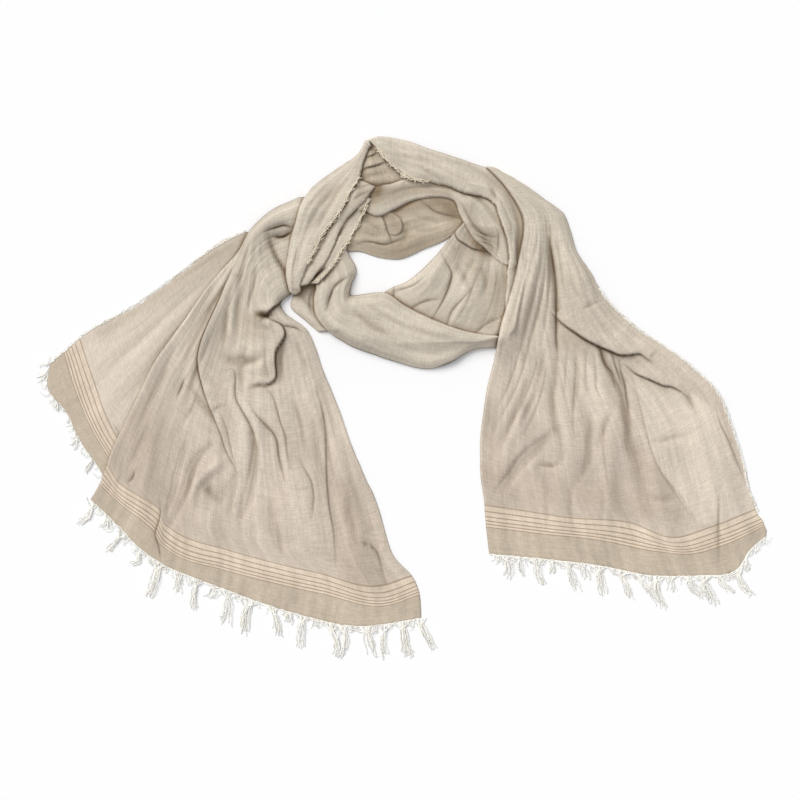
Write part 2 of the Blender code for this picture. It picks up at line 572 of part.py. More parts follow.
def strand_rings(root, outward, sideways, tassel, offset):
    """The two sections of a strand after its root, which gather towards the tassel's middle."""
    middle = root.mean(axis=0)
    rings = []
    for share in (0.5, 1.0):
        swing = tassel.lean * share * share - offset * GATHER * share
        centre = middle + outward * tassel.length * share + sideways * swing
        rest = FRINGE_LIFT + STRAND_ROOT / 2
        centre[2] = rest + (middle[2] - rest) * (1 - share) ** 2
        half = (STRAND_ROOT + (STRAND_TIP - STRAND_ROOT) * share) / 2
        side = sideways * half
        lift = np.array([0.0, 0.0, half])
        rings.append([centre - side - lift, centre + side - lift, centre + side + lift, centre - side + lift])
    return rings


def fringe_of(hem, fringe):
    """Points and triangles of the strip beside a hem, with its strands drawn out of it."""
    distance = lengths_along(hem[:, :2])
    total = distance[-1]
    strands = []
    for tassel in fringe.tassels:
        for number in range(STRANDS_PER_TASSEL):
            offset = (number - (STRANDS_PER_TASSEL - 1) / 2) * STRAND_PITCH
            middle = np.clip(tassel.along * total + offset, fringe.first * total + 2, fringe.last * total - 2)
            strands.append((middle, offset, tassel))
    strands.sort(key=lambda strand: strand[0])
    half = STRAND_ROOT / 2
    roots = {middle - half: (middle, offset, tassel) for middle, offset, tassel in strands}
    ends = [middle + half for middle, _, _ in strands]
    clear = [
        place
        for place in distance
        if fringe.first * total < place < fringe.last * total
        and all(abs(place - middle) > half + 0.4 for middle, _, _ in strands)
    ]
    places = np.array(sorted([fringe.first * total, *roots, *ends, *clear, fringe.last * total]))
    here, sideways, outward = hem_frames(hem, places)
    here[:, 2] += FRINGE_LIFT
    inner = here + outward * STRIP_GAP
    outer = here + outward * (STRIP_GAP + FRINGE_STRIP)
    up = np.array([0.0, 0.0, STRAND_ROOT])
    points = list(np.stack([inner, outer, outer + up, inner + up], axis=1).reshape(-1, 3))
    faces = [*quad(0, 1, 2, 3), *quad(*(4 * (len(places) - 1) + k for k in (3, 2, 1, 0)))]
    for i in range(len(places) - 1):
        a, b = 4 * i, 4 * i + 4
        faces += quad(a, b, b + 1, a + 1)
        faces += quad(a + 2, b + 2, b + 3, a + 3)
        faces += quad(a + 3, b + 3, b, a)
        root = (a + 1, b + 1, b + 2, a + 2)
        if places[i] not in roots:
            faces += quad(*root)
            continue
        _, offset, tassel = roots[places[i]]
        corners = np.array([points[k] for k in root])
        for ring in strand_rings(corners, outward[i], sideways[i], tassel, offset):
            fresh = tuple(range(len(points), len(points) + 4))
            points += ring
            for k in range(4):
                faces += quad(root[k], root[(k + 1) % 4], fresh[(k + 1) % 4], fresh[k])
            root = fresh
        faces += quad(*root)
    return np.array(points), faces


def material_of(name, colour):
    """Plain matt linen in one colour."""
    made = bpy.data.materials.new(name)
    made.use_nodes = True
    shader = made.node_tree.nodes["Principled BSDF"]
    shader.inputs["Base Color"].default_value = (*colour, 1.0)
    shader.inputs["Roughness"].default_value = 0.9
    shader.inputs["Metallic"].default_value = 0.0
    return made


def add_object(name, points, faces, colour, collection):
    """One named solid with its faces turned out and its own material."""
    corners = points[np.array(faces)]
    volume = np.einsum("ij,ij->i", corners[:, 0], np.cross(corners[:, 1], corners[:, 2])).sum()
    turned = [tuple(int(k) for k in (face if volume > 0 else face[::-1])) for face in faces]
    mesh = bpy.data.meshes.new(name)
    centred = (points - (*PLAN_MIDDLE, 0.0)) * MM
    mesh.from_pydata([tuple(point) for point in centred], [], turned)
    mesh.shade_smooth()
    mesh.materials.append(material_of(name, colour))
    made = bpy.data.objects.new(name, mesh)
    collection.objects.link(made)
    return made


def main():
    for old in list(bpy.data.objects):
        bpy.data.objects.remove(old, do_unlink=True)
    scarf = bpy.data.collections.new("linen_scarf")
    bpy.context.scene.collection.children.link(scarf)
    lower = []
    hems = {}
    for stretch in STRETCHES:
        points, faces, hems[stretch.name] = solid_of(stretch, lower)
        lower.append((BVHTree.FromPolygons([Vector(point) for point in points], faces), points))
        add_object(stretch.name, points, faces, stretch.colour, scarf)
        fringe = FRINGES.get(stretch.name)
        if fringe:
            points, faces = fringe_of(hems[stretch.name], fringe)
            lower.append((BVHTree.FromPolygons([Vector(point) for point in points], faces), points))
            add_object(fringe.name, points, faces, FRINGE_THREAD, scarf)


main()
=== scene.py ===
"""Linen gauze scarf, wound once into a loop and laid flat, with both ends spread out.

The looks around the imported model: every stretch of cloth, the woven stripes, the
fringes and the frayed selvages, on a white floor under soft light. The cloth is
one panel of 750 x 2000 mm. Sizes are millimetres in the plan of the laid-out
scarf, +X to the right end and +Y to the top of the loop, unless a name ends in _m.
"""

import logging
import math
from dataclasses import dataclass, field
from enum import Enum

import bpy
import numpy as np
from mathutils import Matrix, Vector


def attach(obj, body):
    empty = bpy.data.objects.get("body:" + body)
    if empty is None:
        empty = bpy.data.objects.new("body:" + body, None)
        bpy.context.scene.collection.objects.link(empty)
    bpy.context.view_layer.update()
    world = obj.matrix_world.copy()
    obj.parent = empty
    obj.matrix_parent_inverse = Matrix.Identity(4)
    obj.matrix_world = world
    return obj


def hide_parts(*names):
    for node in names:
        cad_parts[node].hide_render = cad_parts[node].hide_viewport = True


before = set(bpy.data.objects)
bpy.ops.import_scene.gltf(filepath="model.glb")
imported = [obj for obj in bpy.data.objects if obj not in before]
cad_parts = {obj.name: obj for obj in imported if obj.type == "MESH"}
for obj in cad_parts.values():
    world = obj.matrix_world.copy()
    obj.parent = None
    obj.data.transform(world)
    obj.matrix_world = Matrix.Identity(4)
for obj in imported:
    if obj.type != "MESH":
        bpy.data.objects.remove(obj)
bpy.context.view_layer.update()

LOG = logging.getLogger("linen_scarf")
MM = 0.001
PLAN_MIDDLE = (-1.6, -0.2)  # middle of the laid-out scarf in the tables' plan
WALL = 1.2  # one or two layers of gauze, pressed together
REST_GAP = 0.25  # between a stretch and what it lies on
EDGE_INSETS = (0.0, 0.4, 1.0, 1.9, 3.2)  # columns that round an edge
EDGE_ZONE = 8.0  # half width under which those columns move together
EDGE_ROUND = 1.9  # radius of a folded edge
LIP_BULGE = 0.55  # how far the layers of an edge stand out
CLOTH_WIDTH = 380.0  # of the panel that shows across a spread end
STRIPES_END = 60.0  # distance from the hem that the stripe ramp covers
LOOP_FROM_HEM = 400.0  # where the stretches of the loop start, past the stripes
THINNEST = 0.6  # share of the wall that always shows above what lies below
END_CELL = (1.45, 2.4)  # grid of the spread ends, across and along
LOOP_CELL = (1.2, 1.7)  # grid of the loop's stretches
END_SHOULDER = 16.0  # how far a spread end takes to rise from its edge
LOOP_SHOULDER = 13.0  # the same for the folded loop
MAP_MARGIN = 24  # cells around a stretch that are read with it
BRIDGE_ROUNDS = 4  # softenings of the steps under a cloth
LAY_STEPS = 5  # places along each side of a grid cell that raise the map
PAINTED_RECESS_SHADE = ((1.6, 2.5, 0.5), (5.0, 7.0, 0.7), (11.0, 12.0, 0.5))  # painted shade in recesses and beside higher edges: blur, darkest depth, share
CRINKLES = (  # height of the washed-in waves, and their size across and along
    (0.50, (9, 110)), (0.26, (4.5, 60)), (0.45, (20, 34)), (0.16, (7, 14)), (0.12, (60, 7)),
)
CREASE_LINE = 1.2  # half width of the shade painted along a crease
LAP_STEP = 0.7  # width over which the edge of a lap rises
LAP_LINE = 1.5  # half width of the shade painted beside it
LAP_OVERHANG = 1.3  # how far the upper side of a lap hides the lower one
RIM_TONE = 0.8  # how much paler a worn edge is
RIM_WIDTH = 1.8  # how far in that goes
MOST_SHADE = 0.9  # no painted shade, in a line or a recess, is darker than this share
FLOOR_LEVEL = -0.05  # just below the cloth
THREAD_SIDES = 4


class Slot(Enum):
    """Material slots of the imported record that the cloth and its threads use."""

    DOUBLE = "linen_double"
    SINGLE = "linen_single"
    # the cloth inside the loop, a copy darkened as painted shade
    SHADED = "linen_shaded"
    THREAD = "fringe_thread"


class Form(Enum):
    """How a fold stands: soft, sharp, or one side lapped over the other."""

    SOFT = "soft"
    CREASE = "crease"
    LAP = "lap"


SOFT, CREASE, LAP = Form.SOFT, Form.CREASE, Form.LAP


@dataclass(frozen=True)
class Section:
    """One row of plan points from edge to edge of a stretch, and how high it stands.

    Points are x and y in turn. Fill is 1 where the layers fill the space below and
    0 where one sheet bridges it. The distance from the hem is stated near the hem.
    """

    place: str
    rise: float
    fill: float
    across: tuple[float, ...]
    from_hem: float = -1.0


@dataclass(frozen=True)
class Fold:
    """A ridge (height over 0) or a trough (under 0) along a curve of plan points.

    A lap stands high on the left of its direction. Shade is how dark the shade painted
    along its bottom line is, where thread lies against thread and no light comes in.
    Points are x and y in turn.
    """

    place: str
    form: Form
    width: float
    height: float
    shade: float
    points: tuple[float, ...]

    def shape(self, distance: np.ndarray, signed: np.ndarray) -> tuple[np.ndarray, np.ndarray]:
        """Works out how high and how dark the fold is beside its line.

        Args:
            distance: Distance from the line.
            signed: The same to the left, and under 0 to the right.

        Returns:
            Shares of the fold's height and of the shade painted along it.
        """
        near = np.exp(-((distance / self.width) ** 2))
        if self.form is Form.SOFT:
            return near, 0.5 * np.exp(-((distance / max(0.4 * self.width, 1.4)) ** 2))
        if self.form is Form.CREASE:
            return np.exp(-distance / self.width * 1.3), np.exp(-((distance / CREASE_LINE) ** 2))
        step_up = 0.5 + 0.5 * np.tanh(signed / LAP_STEP)
        line = np.exp(-(((signed + 0.9) / LAP_LINE) ** 2)) * np.exp(-((distance / 6) ** 2))
        return near * step_up, line


@dataclass(frozen=True)
class Patch:
    """An area that is paler (amount over 0), from a single layer or from painted light,
    or darker from painted shade (under 0).

    Its outline is x and y in turn, and it fades over the soft distance.
    """

    place: str
    soft: float
    amount: float
    outline: tuple[float, ...]


@dataclass(frozen=True)
class Tassel:
    """A gathered bundle of a hem's loose threads, by its share of the hem's length."""

    along: float
    length: float
    lean: float
    threads: int = 10


# The fields of a Section in each row.
LEFT_UNDER_SECTIONS = (
    ("under the front", 1, 0, (-166, 202, -151, 166)),
    ("shoulder", 1.5, 0, (-192, 200, -175, 156)),
    ("upper", 2, 0, (-222, 186, -202, 122)),
    ("upper middle", 2.5, 0, (-252, 161, -230, 82)),
    ("middle", 2.5, 0, (-288, 134, -257, 43)),
    ("lower middle", 2, 0, (-324, 108, -283, 0)),
    ("lower", 2, 0, (-360, 92, -348, 38, -312, -46)),
    ("stripes begin", 1.5, 0, (-386, 73, -370, 26, -353, -22, -324, -74), 54),
    ("stripes end", 1.2, 0, (-404, 58, -391, 14, -370, -36, -336, -91), 30),
    ("hem", 0.8, 0, (-421, 44, -424, 16, -402, -14, -383, -52, -362, -82, -350, -103), 0),
)

LEFT_FRONT_SECTIONS = (
    ("under the lapel", 9, 1, (-94, 238, -106, 186, -118, 137)),
    ("at the lapel", 12, 1, (-115, 244, -122, 186, -125, 132)),
    ("strand", 13, 1, (-134, 238, -144, 186, -134, 126)),
    ("strand end", 13, 0.9, (-156, 227, -163, 186, -158, 146, -142, 120)),
    ("spreads", 11, 0.6, (-179, 206, -180, 166, -168, 134, -144, 113)),
    ("neck", 9, 0.3, (-194, 179, -188, 142, -170, 116, -137, 103)),
    ("shoulder", 7, 0, (-214, 156, -202, 116, -175, 90, -142, 82, -114, 86)),
    ("upper", 5, 0, (-234, 132, -214, 90, -182, 62, -140, 54, -103, 65)),
    ("fan 1", 4, 0, (-256, 100, -226, 54, -180, 29, -132, 24, -94, 38)),
    ("fan 2", 3.5, 0, (-276, 72, -234, 22, -178, -2, -126, -5, -84, 14)),
    ("fan 3", 3, 0, (-294, 47, -245, -6, -180, -34, -120, -36, -74, -11)),
    ("fan 4", 3, 0, (-311, 13, -252, -42, -184, -72, -116, -74, -61, -49)),
    ("fan 5", 2.5, 0, (-331, -28, -266, -84, -186, -115, -108, -120, -42, -94)),
    ("fan 6", 2.5, 0, (-346, -60, -276, -124, -192, -154, -106, -162, -25, -134)),
    ("fan 7", 2.5, 0, (-349, -68, -278, -136, -191, -169, -102, -186, -11, -182)),
    ("stripes begin", 2, 0, (-352, -78, -338, -100, -320, -112, -300, -124, -289, -133, -284, -148,
        -272, -158, -210, -180, -101, -208, -23, -224, 14, -212), 54),
    ("stripes end", 1.6, 0, (-361, -101, -350, -112, -336, -125, -308, -146, -296, -157,
        -287, -173, -272, -185, -215, -203, -96, -232, -17, -247, 23, -234), 30),
    ("hem", 1.4, 0, (-372, -120, -344, -146, -306, -184, -282, -199, -222, -223, -138, -253,
        -46, -272, 25, -262), 0),
)

RIGHT_SECTIONS = (
    ("tip", 3, 1, (104, 280, 110, 280, 116, 278)),
    ("over the crown", 7, 1, (122, 262, 133, 262, 145, 262)),
    ("shoulder top", 10, 1, (138, 240, 156, 242, 175, 241)),
    ("shoulder", 11, 1, (148, 220, 172, 224, 197, 223)),
    ("strand", 11, 0.9, (149, 202, 175, 200, 205, 204)),
    ("spreads", 10, 0.6, (145, 181, 178, 173, 212, 179)),
    ("neck", 9, 0.3, (139, 151, 180, 138, 229, 154)),
    ("fan 1", 8, 0, (130, 119, 187, 98, 248, 121)),
    ("fan 2", 7, 0, (120, 84, 192, 58, 250, 66, 283, 89)),
    ("fan 3", 5.5, 0, (114, 50, 186, 20, 264, 31, 319, 64)),
    ("fan 4", 4.5, 0, (106, 19, 180, -16, 266, -8, 324, 16, 356, 36)),
    ("fan 5", 3.5, 0, (101, -13, 180, -49, 270, -48, 342, -22, 383, 8)),
    ("fan 6", 3, 0, (97, -48, 180, -82, 274, -86, 354, -56, 398, -29)),
    ("fan 7", 2.5, 0, (97, -84, 180, -108, 274, -119, 360, -92, 412, -72)),
    ("stripes begin", 2, 0, (102, -127, 144, -133, 204, -142, 276, -148, 330, -166, 372, -154,
        428, -132), 54),
    ("stripes end", 1.6, 0, (104, -152, 168, -160, 240, -168, 312, -182, 346, -185, 394, -172,
        439, -151), 30),
    ("hem", 1.4, 0, (108, -185, 174, -191, 240, -199, 306, -211, 354, -211, 406, -203, 422, -179,
        440, -164), 0),
)

NAPE_SECTIONS = (
    ("under the lapel", 4, 1, (-60, 236, -64, 206, -68, 178)),
    ("left", 5, 1, (-46, 238, -48, 206, -50, 179)),
    ("pleat", 6, 1, (-24, 241, -25, 206, -26, 172)),
    ("middle", 6, 1, (0, 247, 0, 206, 0, 170)),
    ("right", 6, 1, (30, 252, 29, 216, 29, 182)),
    ("under the roll", 5, 1, (60, 252, 58, 222, 53, 192)),
    ("end", 4, 1, (86, 242, 83, 224, 74, 206)),
)

STRAND_SECTIONS = (
    ("under the roll", 5, 1, (77, 214, 98, 209, 120, 206)),
    ("pit", 6, 1, (60, 194, 90, 175, 134, 180)),
    ("upper", 9, 1, (43, 173, 77, 140, 139, 150)),
    ("middle", 10, 1, (26, 156, 62, 113, 138, 115)),
    ("lower", 9, 1, (10, 143, 43, 92, 130, 79)),
    ("under the front", 7, 1, (-11, 134, 10, 90, 55, 67)),
    ("end", 5, 1, (-31, 120, -22, 91, -5, 66)),
)

APEX_SECTIONS = (
    ("point", 3, 1, (-42, 307, -35, 308, -25, 308)),
    ("upper", 4, 1, (-47, 293, -32, 293, -14, 292)),
    ("middle", 5, 1, (-50, 280, -31, 276, -5, 276)),
    ("lower", 5, 1, (-55, 266, -30, 263, 4, 266)),
    ("under the roll", 4, 1, (-58, 252, -29, 250, 2, 254)),
)

TUCK_SECTIONS = (
    ("under the lapel", 5, 1, (-120, 146, -98, 142, -78, 134)),
    ("upper", 6, 1, (-128, 124, -110, 120, -90, 116)),
    ("middle", 6, 1, (-131, 112, -110, 107, -89, 103)),
    ("lower", 6, 1, (-115, 97, -102, 96, -84, 94)),
    ("under the front", 5, 1, (-98, 82, -89, 83, -74, 84)),
)

ROLL_SECTIONS = (
    ("under the lapel", 4, 1, (-46, 250, -49, 242, -48, 232)),
    ("left", 6, 1, (-24, 257, -32, 240, -28, 221)),
    ("rising", 7, 1, (-8, 260, -11, 245, -7, 229)),
    ("over the nape", 7, 1, (14, 269, 13, 253, 13, 239)),
    ("middle", 7, 1, (41, 272, 40, 257, 41, 244)),
    ("widens", 8, 1, (70, 264, 66, 251, 65, 239)),
    ("pillow", 10, 1, (96, 254, 84, 238, 72, 223)),
    ("pillow end", 10, 1, (119, 240, 98, 223, 80, 208)),
    ("turns under", 7, 1, (130, 212, 109, 203, 89, 194)),
    ("pit", 4, 1, (133, 185, 119, 182, 103, 182)),
    ("runs out", 2, 1, (134, 161, 126, 163, 116, 169)),
)

FRONT_SECTIONS = (
    ("under the lapel", 6, 1, (-72, 192, -92, 173, -113, 154)),
    ("beside the hole", 9, 1, (-62, 175, -80, 157, -101, 138)),
    ("left", 12, 1, (-53, 158, -77, 140, -103, 121)),
    ("turn", 13, 1, (-59, 138, -76, 122, -100, 100)),
    ("corner", 13, 1, (-60, 126, -71, 106, -86, 83)),
    ("bib left", 14, 1, (-44, 127, -54, 96, -64, 68)),
    ("bib", 15, 1, (-17, 128, -24, 90, -31, 55)),
    ("bib right", 14, 1, (6, 113, 1, 78, -4, 46)),
    ("lowest", 12, 1, (38, 97, 34, 65, 31, 38)),
    ("right", 10, 1, (72, 84, 65, 64, 58, 44)),
    ("narrows", 7, 1, (102, 78, 95, 68, 89, 61)),
    ("under the end", 4, 1, (127, 76, 122, 70, 118, 64)),
)

CROWN_SECTIONS = (
    ("apex", 3, 1, (-41, 311, -36, 310, -31, 306)),
    ("rising", 5, 1, (-29, 316, -26, 307, -24, 298)),
    ("left", 7, 1, (-14, 316, -14, 301, -14, 287)),
    ("opening", 8, 1, (0, 313, -1, 294, -1, 276)),
    ("left middle", 10, 1, (13, 310, 13, 288, 12, 266)),
    ("middle", 11, 1, (34, 302, 34, 282, 32, 262)),
    ("right middle", 11, 1, (60, 294, 60, 276, 58, 257)),
    ("right", 10, 1, (89, 284, 84, 265, 77, 248)),
    ("bend", 9, 1, (112, 275, 103, 259, 96, 245)),
    ("turns down", 7, 1, (132, 257, 121, 245, 113, 236)),
    ("strip", 6, 1, (146, 232, 132, 224, 119, 221)),
    ("strip middle", 5, 1, (154, 206, 140, 203, 127, 200)),
    ("strip lower", 5, 1, (152, 178, 142, 178, 131, 178)),
    ("strip narrows", 4, 1, (143, 144, 136, 144, 128, 144)),
    ("strip thins", 3, 1, (136, 115, 131, 115, 126, 115)),
    ("strip end", 2, 1, (130, 84, 127, 84, 124, 84)),
)

LAPEL_UNDER_SECTIONS = (
    ("top", 4, 1, (-65, 247, -50, 246, -36, 242)),
    ("upper", 4, 1, (-71, 230, -55, 230, -41, 230)),
    ("fray", 4, 1, (-79, 214, -64, 215, -48, 217)),
    ("middle", 4, 1, (-89, 194, -73, 197, -58, 199)),
    ("lower", 4, 1, (-97, 176, -83, 178, -70, 180)),
    ("narrows", 4, 1, (-107, 160, -92, 160, -80, 161)),
    ("end", 3, 1, (-119, 143, -108, 140, -98, 140)),
)

LAPEL_INNER_SECTIONS = (
    ("top", 4, 1, (-60, 268, -46, 263, -31, 256)),
    ("gathers", 5, 1, (-67, 252, -50, 250, -37, 245)),
    ("upper", 5, 1, (-79, 233, -61, 234, -47, 234)),
    ("middle", 5, 1, (-91, 212, -77, 216, -64, 217)),
    ("lower middle", 5, 1, (-106, 192, -90, 194, -76, 196)),
    ("lower", 4, 1, (-115, 173, -100, 174, -85, 173)),
    ("narrows", 4, 1, (-122, 156, -110, 156, -97, 155)),
    ("end", 3, 1, (-128, 139, -120, 137, -110, 139)),
)

LAPEL_SECTIONS = (
    ("apex", 3, 1, (-41, 311, -38, 310, -36, 306)),
    ("ridge", 4, 1, (-52, 294, -47, 294, -42, 294)),
    ("upper", 6, 1, (-71, 281, -58, 280, -46, 280)),
    ("shoulder", 7, 1, (-95, 264, -72, 264, -49, 265)),
    ("widest", 7, 1, (-110, 250, -84, 248, -60, 251)),
    ("outer edge", 7, 1, (-119, 232, -94, 232, -68, 233)),
    ("middle", 6, 1, (-124, 214, -102, 214, -80, 215)),
    ("lower middle", 6, 1, (-130, 194, -112, 193, -96, 193)),
    ("lower", 5, 1, (-134, 173, -120, 172, -106, 172)),
    ("narrows", 4, 1, (-136, 151, -125, 150, -115, 151)),
    ("end", 3, 1, (-132, 130, -126, 127, -121, 130)),
)

# Folds of each stretch, widths and heights in millimetres; shade is painted along each fold's bottom line.
# The fields of a Fold in each row.
LEFT_UNDER_FOLDS = (
    ("edge to hem", SOFT, 14, 1.8, 0, (-210, 185, -300, 108, -396, 18)),
    ("inner wave", SOFT, 12, 1.5, 0, (-222, 150, -300, 66, -366, -24)),
    ("neck streak", SOFT, 4, -1, 0.15, (-192, 192, -222, 173, -264, 144)),
    ("long streak", SOFT, 5, -0.9, 0.10, (-197, 180, -240, 139, -300, 84, -346, 41)),
    ("low streak", SOFT, 5, -0.9, 0.08, (-240, 120, -282, 66, -324, 6)),
    ("hem dip", SOFT, 8, -0.8, 0.10, (-374, 66, -389, 58, -408, 34)),
    ("knot crease", CREASE, 3, -1, 0.25, (-344, -30, -340, -38, -338, -48)),
)

LEFT_FRONT_FOLDS = (
    ("strand ridge", SOFT, 13, 4, 0, (-120, 222, -161, 211, -185, 166)),
    ("strand trough", SOFT, 10, -3, 0, (-120, 202, -149, 192, -143, 166)),
    ("strand roll", SOFT, 3.2, -2.4, 0.75, (-132, 131, -134, 140, -137, 152, -143, 162, -149, 172,
        -155, 187, -158, 200)),
    ("upper strand line", CREASE, 2.6, -2.4, 0.5, (-161, 202, -150, 206, -138, 209, -128, 206)),
    ("lower strand line", CREASE, 2.8, -2.6, 0.75, (-152, 196, -140, 196, -130, 202)),
    ("lapped pleat", LAP, 13, 4.5, 0.95, (-203, 152, -209, 138, -215, 122, -226, 98, -233, 82,
        -239, 65, -242, 50, -240, 30, -236, 14, -232, 1, -227, -11)),
    ("pleat runs out", LAP, 12, 2.2, 0.45, (-234, 10, -227, -11, -221, -25, -214, -42, -208, -61,
        -200, -77, -196, -86)),
    ("second pleat line", CREASE, 2.6, -1, 0.22, (-217, -14, -209, -34, -204, -55, -197, -84)),
    ("pleat fades", SOFT, 4, -1.4, 0.2, (-197, -84, -199, -100, -203, -115, -205, -137)),
    ("drape", SOFT, 16, 5, 0, (-178, 98, -166, 60, -170, 26)),
    ("drape edge", LAP, 11, 3.6, 0.85, (-173, 19, -158, 20, -152, 24, -151, 46, -150, 58, -143, 70,
        -139, 78, -142, 88, -154, 95, -163, 100)),
    ("drape mouth", LAP, 9, 4, 1, (-166, 98, -158, 106, -149, 114, -140, 121, -131, 128)),
    ("drape pit", SOFT, 3.6, -4.5, 2, (-169, 103, -163, 101, -156, 102)),
    ("drape side", CREASE, 2.6, -1.5, 0.5, (-143, 89, -132, 88, -124, 86, -118, 82)),
    ("under the drape", SOFT, 6, -3, 0.4, (-211, 52, -202, 47, -190, 46, -175, 48, -161, 55)),
    ("tongue", SOFT, 3, -1.2, 0.3, (-161, 58, -161, 43, -157, 25)),
    ("over the drape", SOFT, 4, -1.6, 0.25, (-180, 90, -168, 88, -158, 86, -150, 91)),
    ("drape bottom", SOFT, 3.2, -1.4, 0.45, (-180, 14, -170, 17, -158, 18, -151, 20)),
    ("neck streak 1", SOFT, 3.5, -1.2, 0.14, (-172, 202, -173, 185, -176, 166)),
    ("neck streak 2", SOFT, 3.2, -1.2, 0.16, (-167, 202, -166, 182, -162, 158)),
    ("neck streak 3", SOFT, 3.2, -1.1, 0.14, (-161, 192, -158, 170, -152, 146)),
    ("shoulder streak 1", SOFT, 4, -1.4, 0.18, (-188, 144, -193, 120, -197, 70)),
    ("shoulder streak 2", SOFT, 4, -1.2, 0.14, (-202, 132, -208, 98, -212, 62)),
    ("shoulder streak 3", SOFT, 4, 1.4, 0, (-194, 137, -202, 108, -205, 66)),
    ("left streak 1", SOFT, 5, -1.3, 0.12, (-202, 166, -234, 120, -259, 77)),
    ("left streak 2", SOFT, 5, -1.2, 0.12, (-214, 132, -245, 90, -269, 46)),
    ("left streak 3", SOFT, 4, -1.3, 0.16, (-228, 106, -250, 66, -262, 36)),
    ("neck streak 4", SOFT, 2.8, -1.2, 0.16, (-178, 197, -184, 173, -192, 144, -203, 115)),
    ("neck streak 5", SOFT, 2.6, -1.1, 0.16, (-184, 192, -196, 166, -211, 137, -230, 106, -252, 70)),
    ("neck streak 6", SOFT, 2.6, -1.1, 0.16, (-172, 166, -175, 139, -182, 113, -185, 91)),
    ("fan streak 1", SOFT, 3.2, -1.1, 0.14, (-226, 84, -234, 58, -247, 29, -257, -5)),
    ("fan streak 2", SOFT, 3.6, -1.2, 0.14, (-271, 60, -288, 22, -305, -14, -317, -43)),
    ("fan streak 3", SOFT, 3.6, -1.2, 0.14, (-187, 60, -192, 34, -188, 10)),
    ("dent", CREASE, 3.2, -1.6, 0.4, (-259, 26, -264, 13, -268, 4)),
    ("dent streak", SOFT, 3, -1, 0.2, (-247, -2, -252, -14, -258, -25)),
    ("beside the pleat", SOFT, 4, -1.8, 0.35, (-250, 14, -242, 0, -230, -14, -223, -26)),
    ("long ridge", SOFT, 9, 3, 0, (-206, 29, -197, 0, -187, -36, -185, -84)),
    ("tongue crease", CREASE, 2.8, -1.6, 0.4, (-209, 35, -200, 37, -198, 29, -198, 12, -197, 1,
        -191, -11, -181, -29, -175, -46, -174, -59)),
    ("long trough", SOFT, 5, -3.4, 0.55, (-178, -41, -174, -61, -176, -83, -180, -107, -185, -125,
        -192, -140)),
    ("lit ridge", SOFT, 6, 2.2, 0, (-192, 18, -184, -4, -173, -26, -167, -55, -168, -96)),
    ("right crease 1", CREASE, 3.2, -1.8, 0.4, (-181, -5, -172, -19, -161, -31, -152, -41, -148, -50,
        -146, -66, -143, -80, -138, -98)),
    ("right crease 2", CREASE, 2.8, -1.4, 0.32, (-163, 17, -152, 2, -148, -11, -144, -26, -138, -43,
        -136, -60, -132, -82)),
    ("left ridge", SOFT, 15, 2.4, 0, (-266, 0, -300, -60, -312, -108)),
    ("left trough", SOFT, 4.5, -3.2, 0.5, (-228, -55, -239, -65, -247, -77, -252, -90, -256, -104,
        -262, -119, -268, -132, -275, -148)),
    ("left lit ridge", SOFT, 6, 2.8, 0, (-211, -71, -226, -83, -241, -96, -250, -113, -252, -134)),
    ("left trough 2", SOFT, 4, -1.8, 0.25, (-257, -42, -263, -70, -269, -94, -271, -108, -277, -125,
        -282, -144)),
    ("shadow dent", SOFT, 6.5, -2.6, 0.35, (-234, -104, -227, -112, -217, -120)),
    ("shadow dent side", SOFT, 6, -1.6, 0.18, (-217, -120, -206, -110, -199, -97)),
    ("hem corner dent", CREASE, 3, -1.5, 0.4, (-319, -84, -322, -94, -328, -100)),
    ("left mottle", SOFT, 7, -1.4, 0.14, (-300, -30, -312, -58, -322, -74)),
    ("left mottle 2", SOFT, 6, -1.3, 0.14, (-278, -14, -288, -38, -295, -62)),
    ("middle ridge", SOFT, 16, 2.8, 0, (-154, 0, -130, -72, -125, -204)),
    ("middle crease", CREASE, 2.8, -1.3, 0.26, (-119, -73, -113, -86, -107, -97, -104, -112,
        -106, -142)),
    ("middle dip", SOFT, 5, -2, 0.28, (-156, -126, -152, -152, -146, -170, -143, -187)),
    ("level crease", CREASE, 2.4, -0.6, 0.10, (-137, -106, -122, -107, -107, -106)),
    ("right broad trough", SOFT, 10, -2.2, 0, (-96, 6, -89, -96, -79, -199)),
    ("right trough", CREASE, 3.2, -2.6, 0.6, (-100, 10, -94, -10, -90, -37, -89, -67, -88, -98,
        -85, -130, -80, -160, -78, -192)),
    ("right faint line", SOFT, 3, -1, 0.16, (-106, -18, -100, -41, -97, -61, -94, -86)),
    ("right ridge", SOFT, 14, 2.8, 0, (-113, 48, -67, -72, -46, -228)),
    ("right dent", SOFT, 5, -2.4, 0.38, (-64, -106, -62, -122, -60, -138, -55, -156, -53, -169)),
    ("corner crease", CREASE, 3.4, -2.2, 0.5, (-55, -170, -40, -174, -30, -180, -25, -191, -22, -205,
        -17, -221)),
    ("right streak 1", SOFT, 4, -1.3, 0.16, (-140, 72, -143, 48, -142, 19)),
    ("right streak 2", SOFT, 4, -1.3, 0.16, (-124, 74, -118, 53, -109, 34)),
    ("right streak 3", SOFT, 4, -1.2, 0.14, (-130, 6, -120, -24, -113, -60)),
    ("right streak 4", SOFT, 4, -1.2, 0.14, (-98, 34, -84, -12, -74, -55)),
    ("right streak 5", SOFT, 4, -1.1, 0.12, (-72, -36, -60, -84, -46, -132)),
    ("left hem ridge", SOFT, 14, 2.6, 0, (-240, -84, -234, -144, -230, -210)),
    ("hem pleat", LAP, 10, 2.4, 0.55, (-288, -124, -287, -138, -290, -151, -293, -161, -289, -175,
        -287, -194)),
)

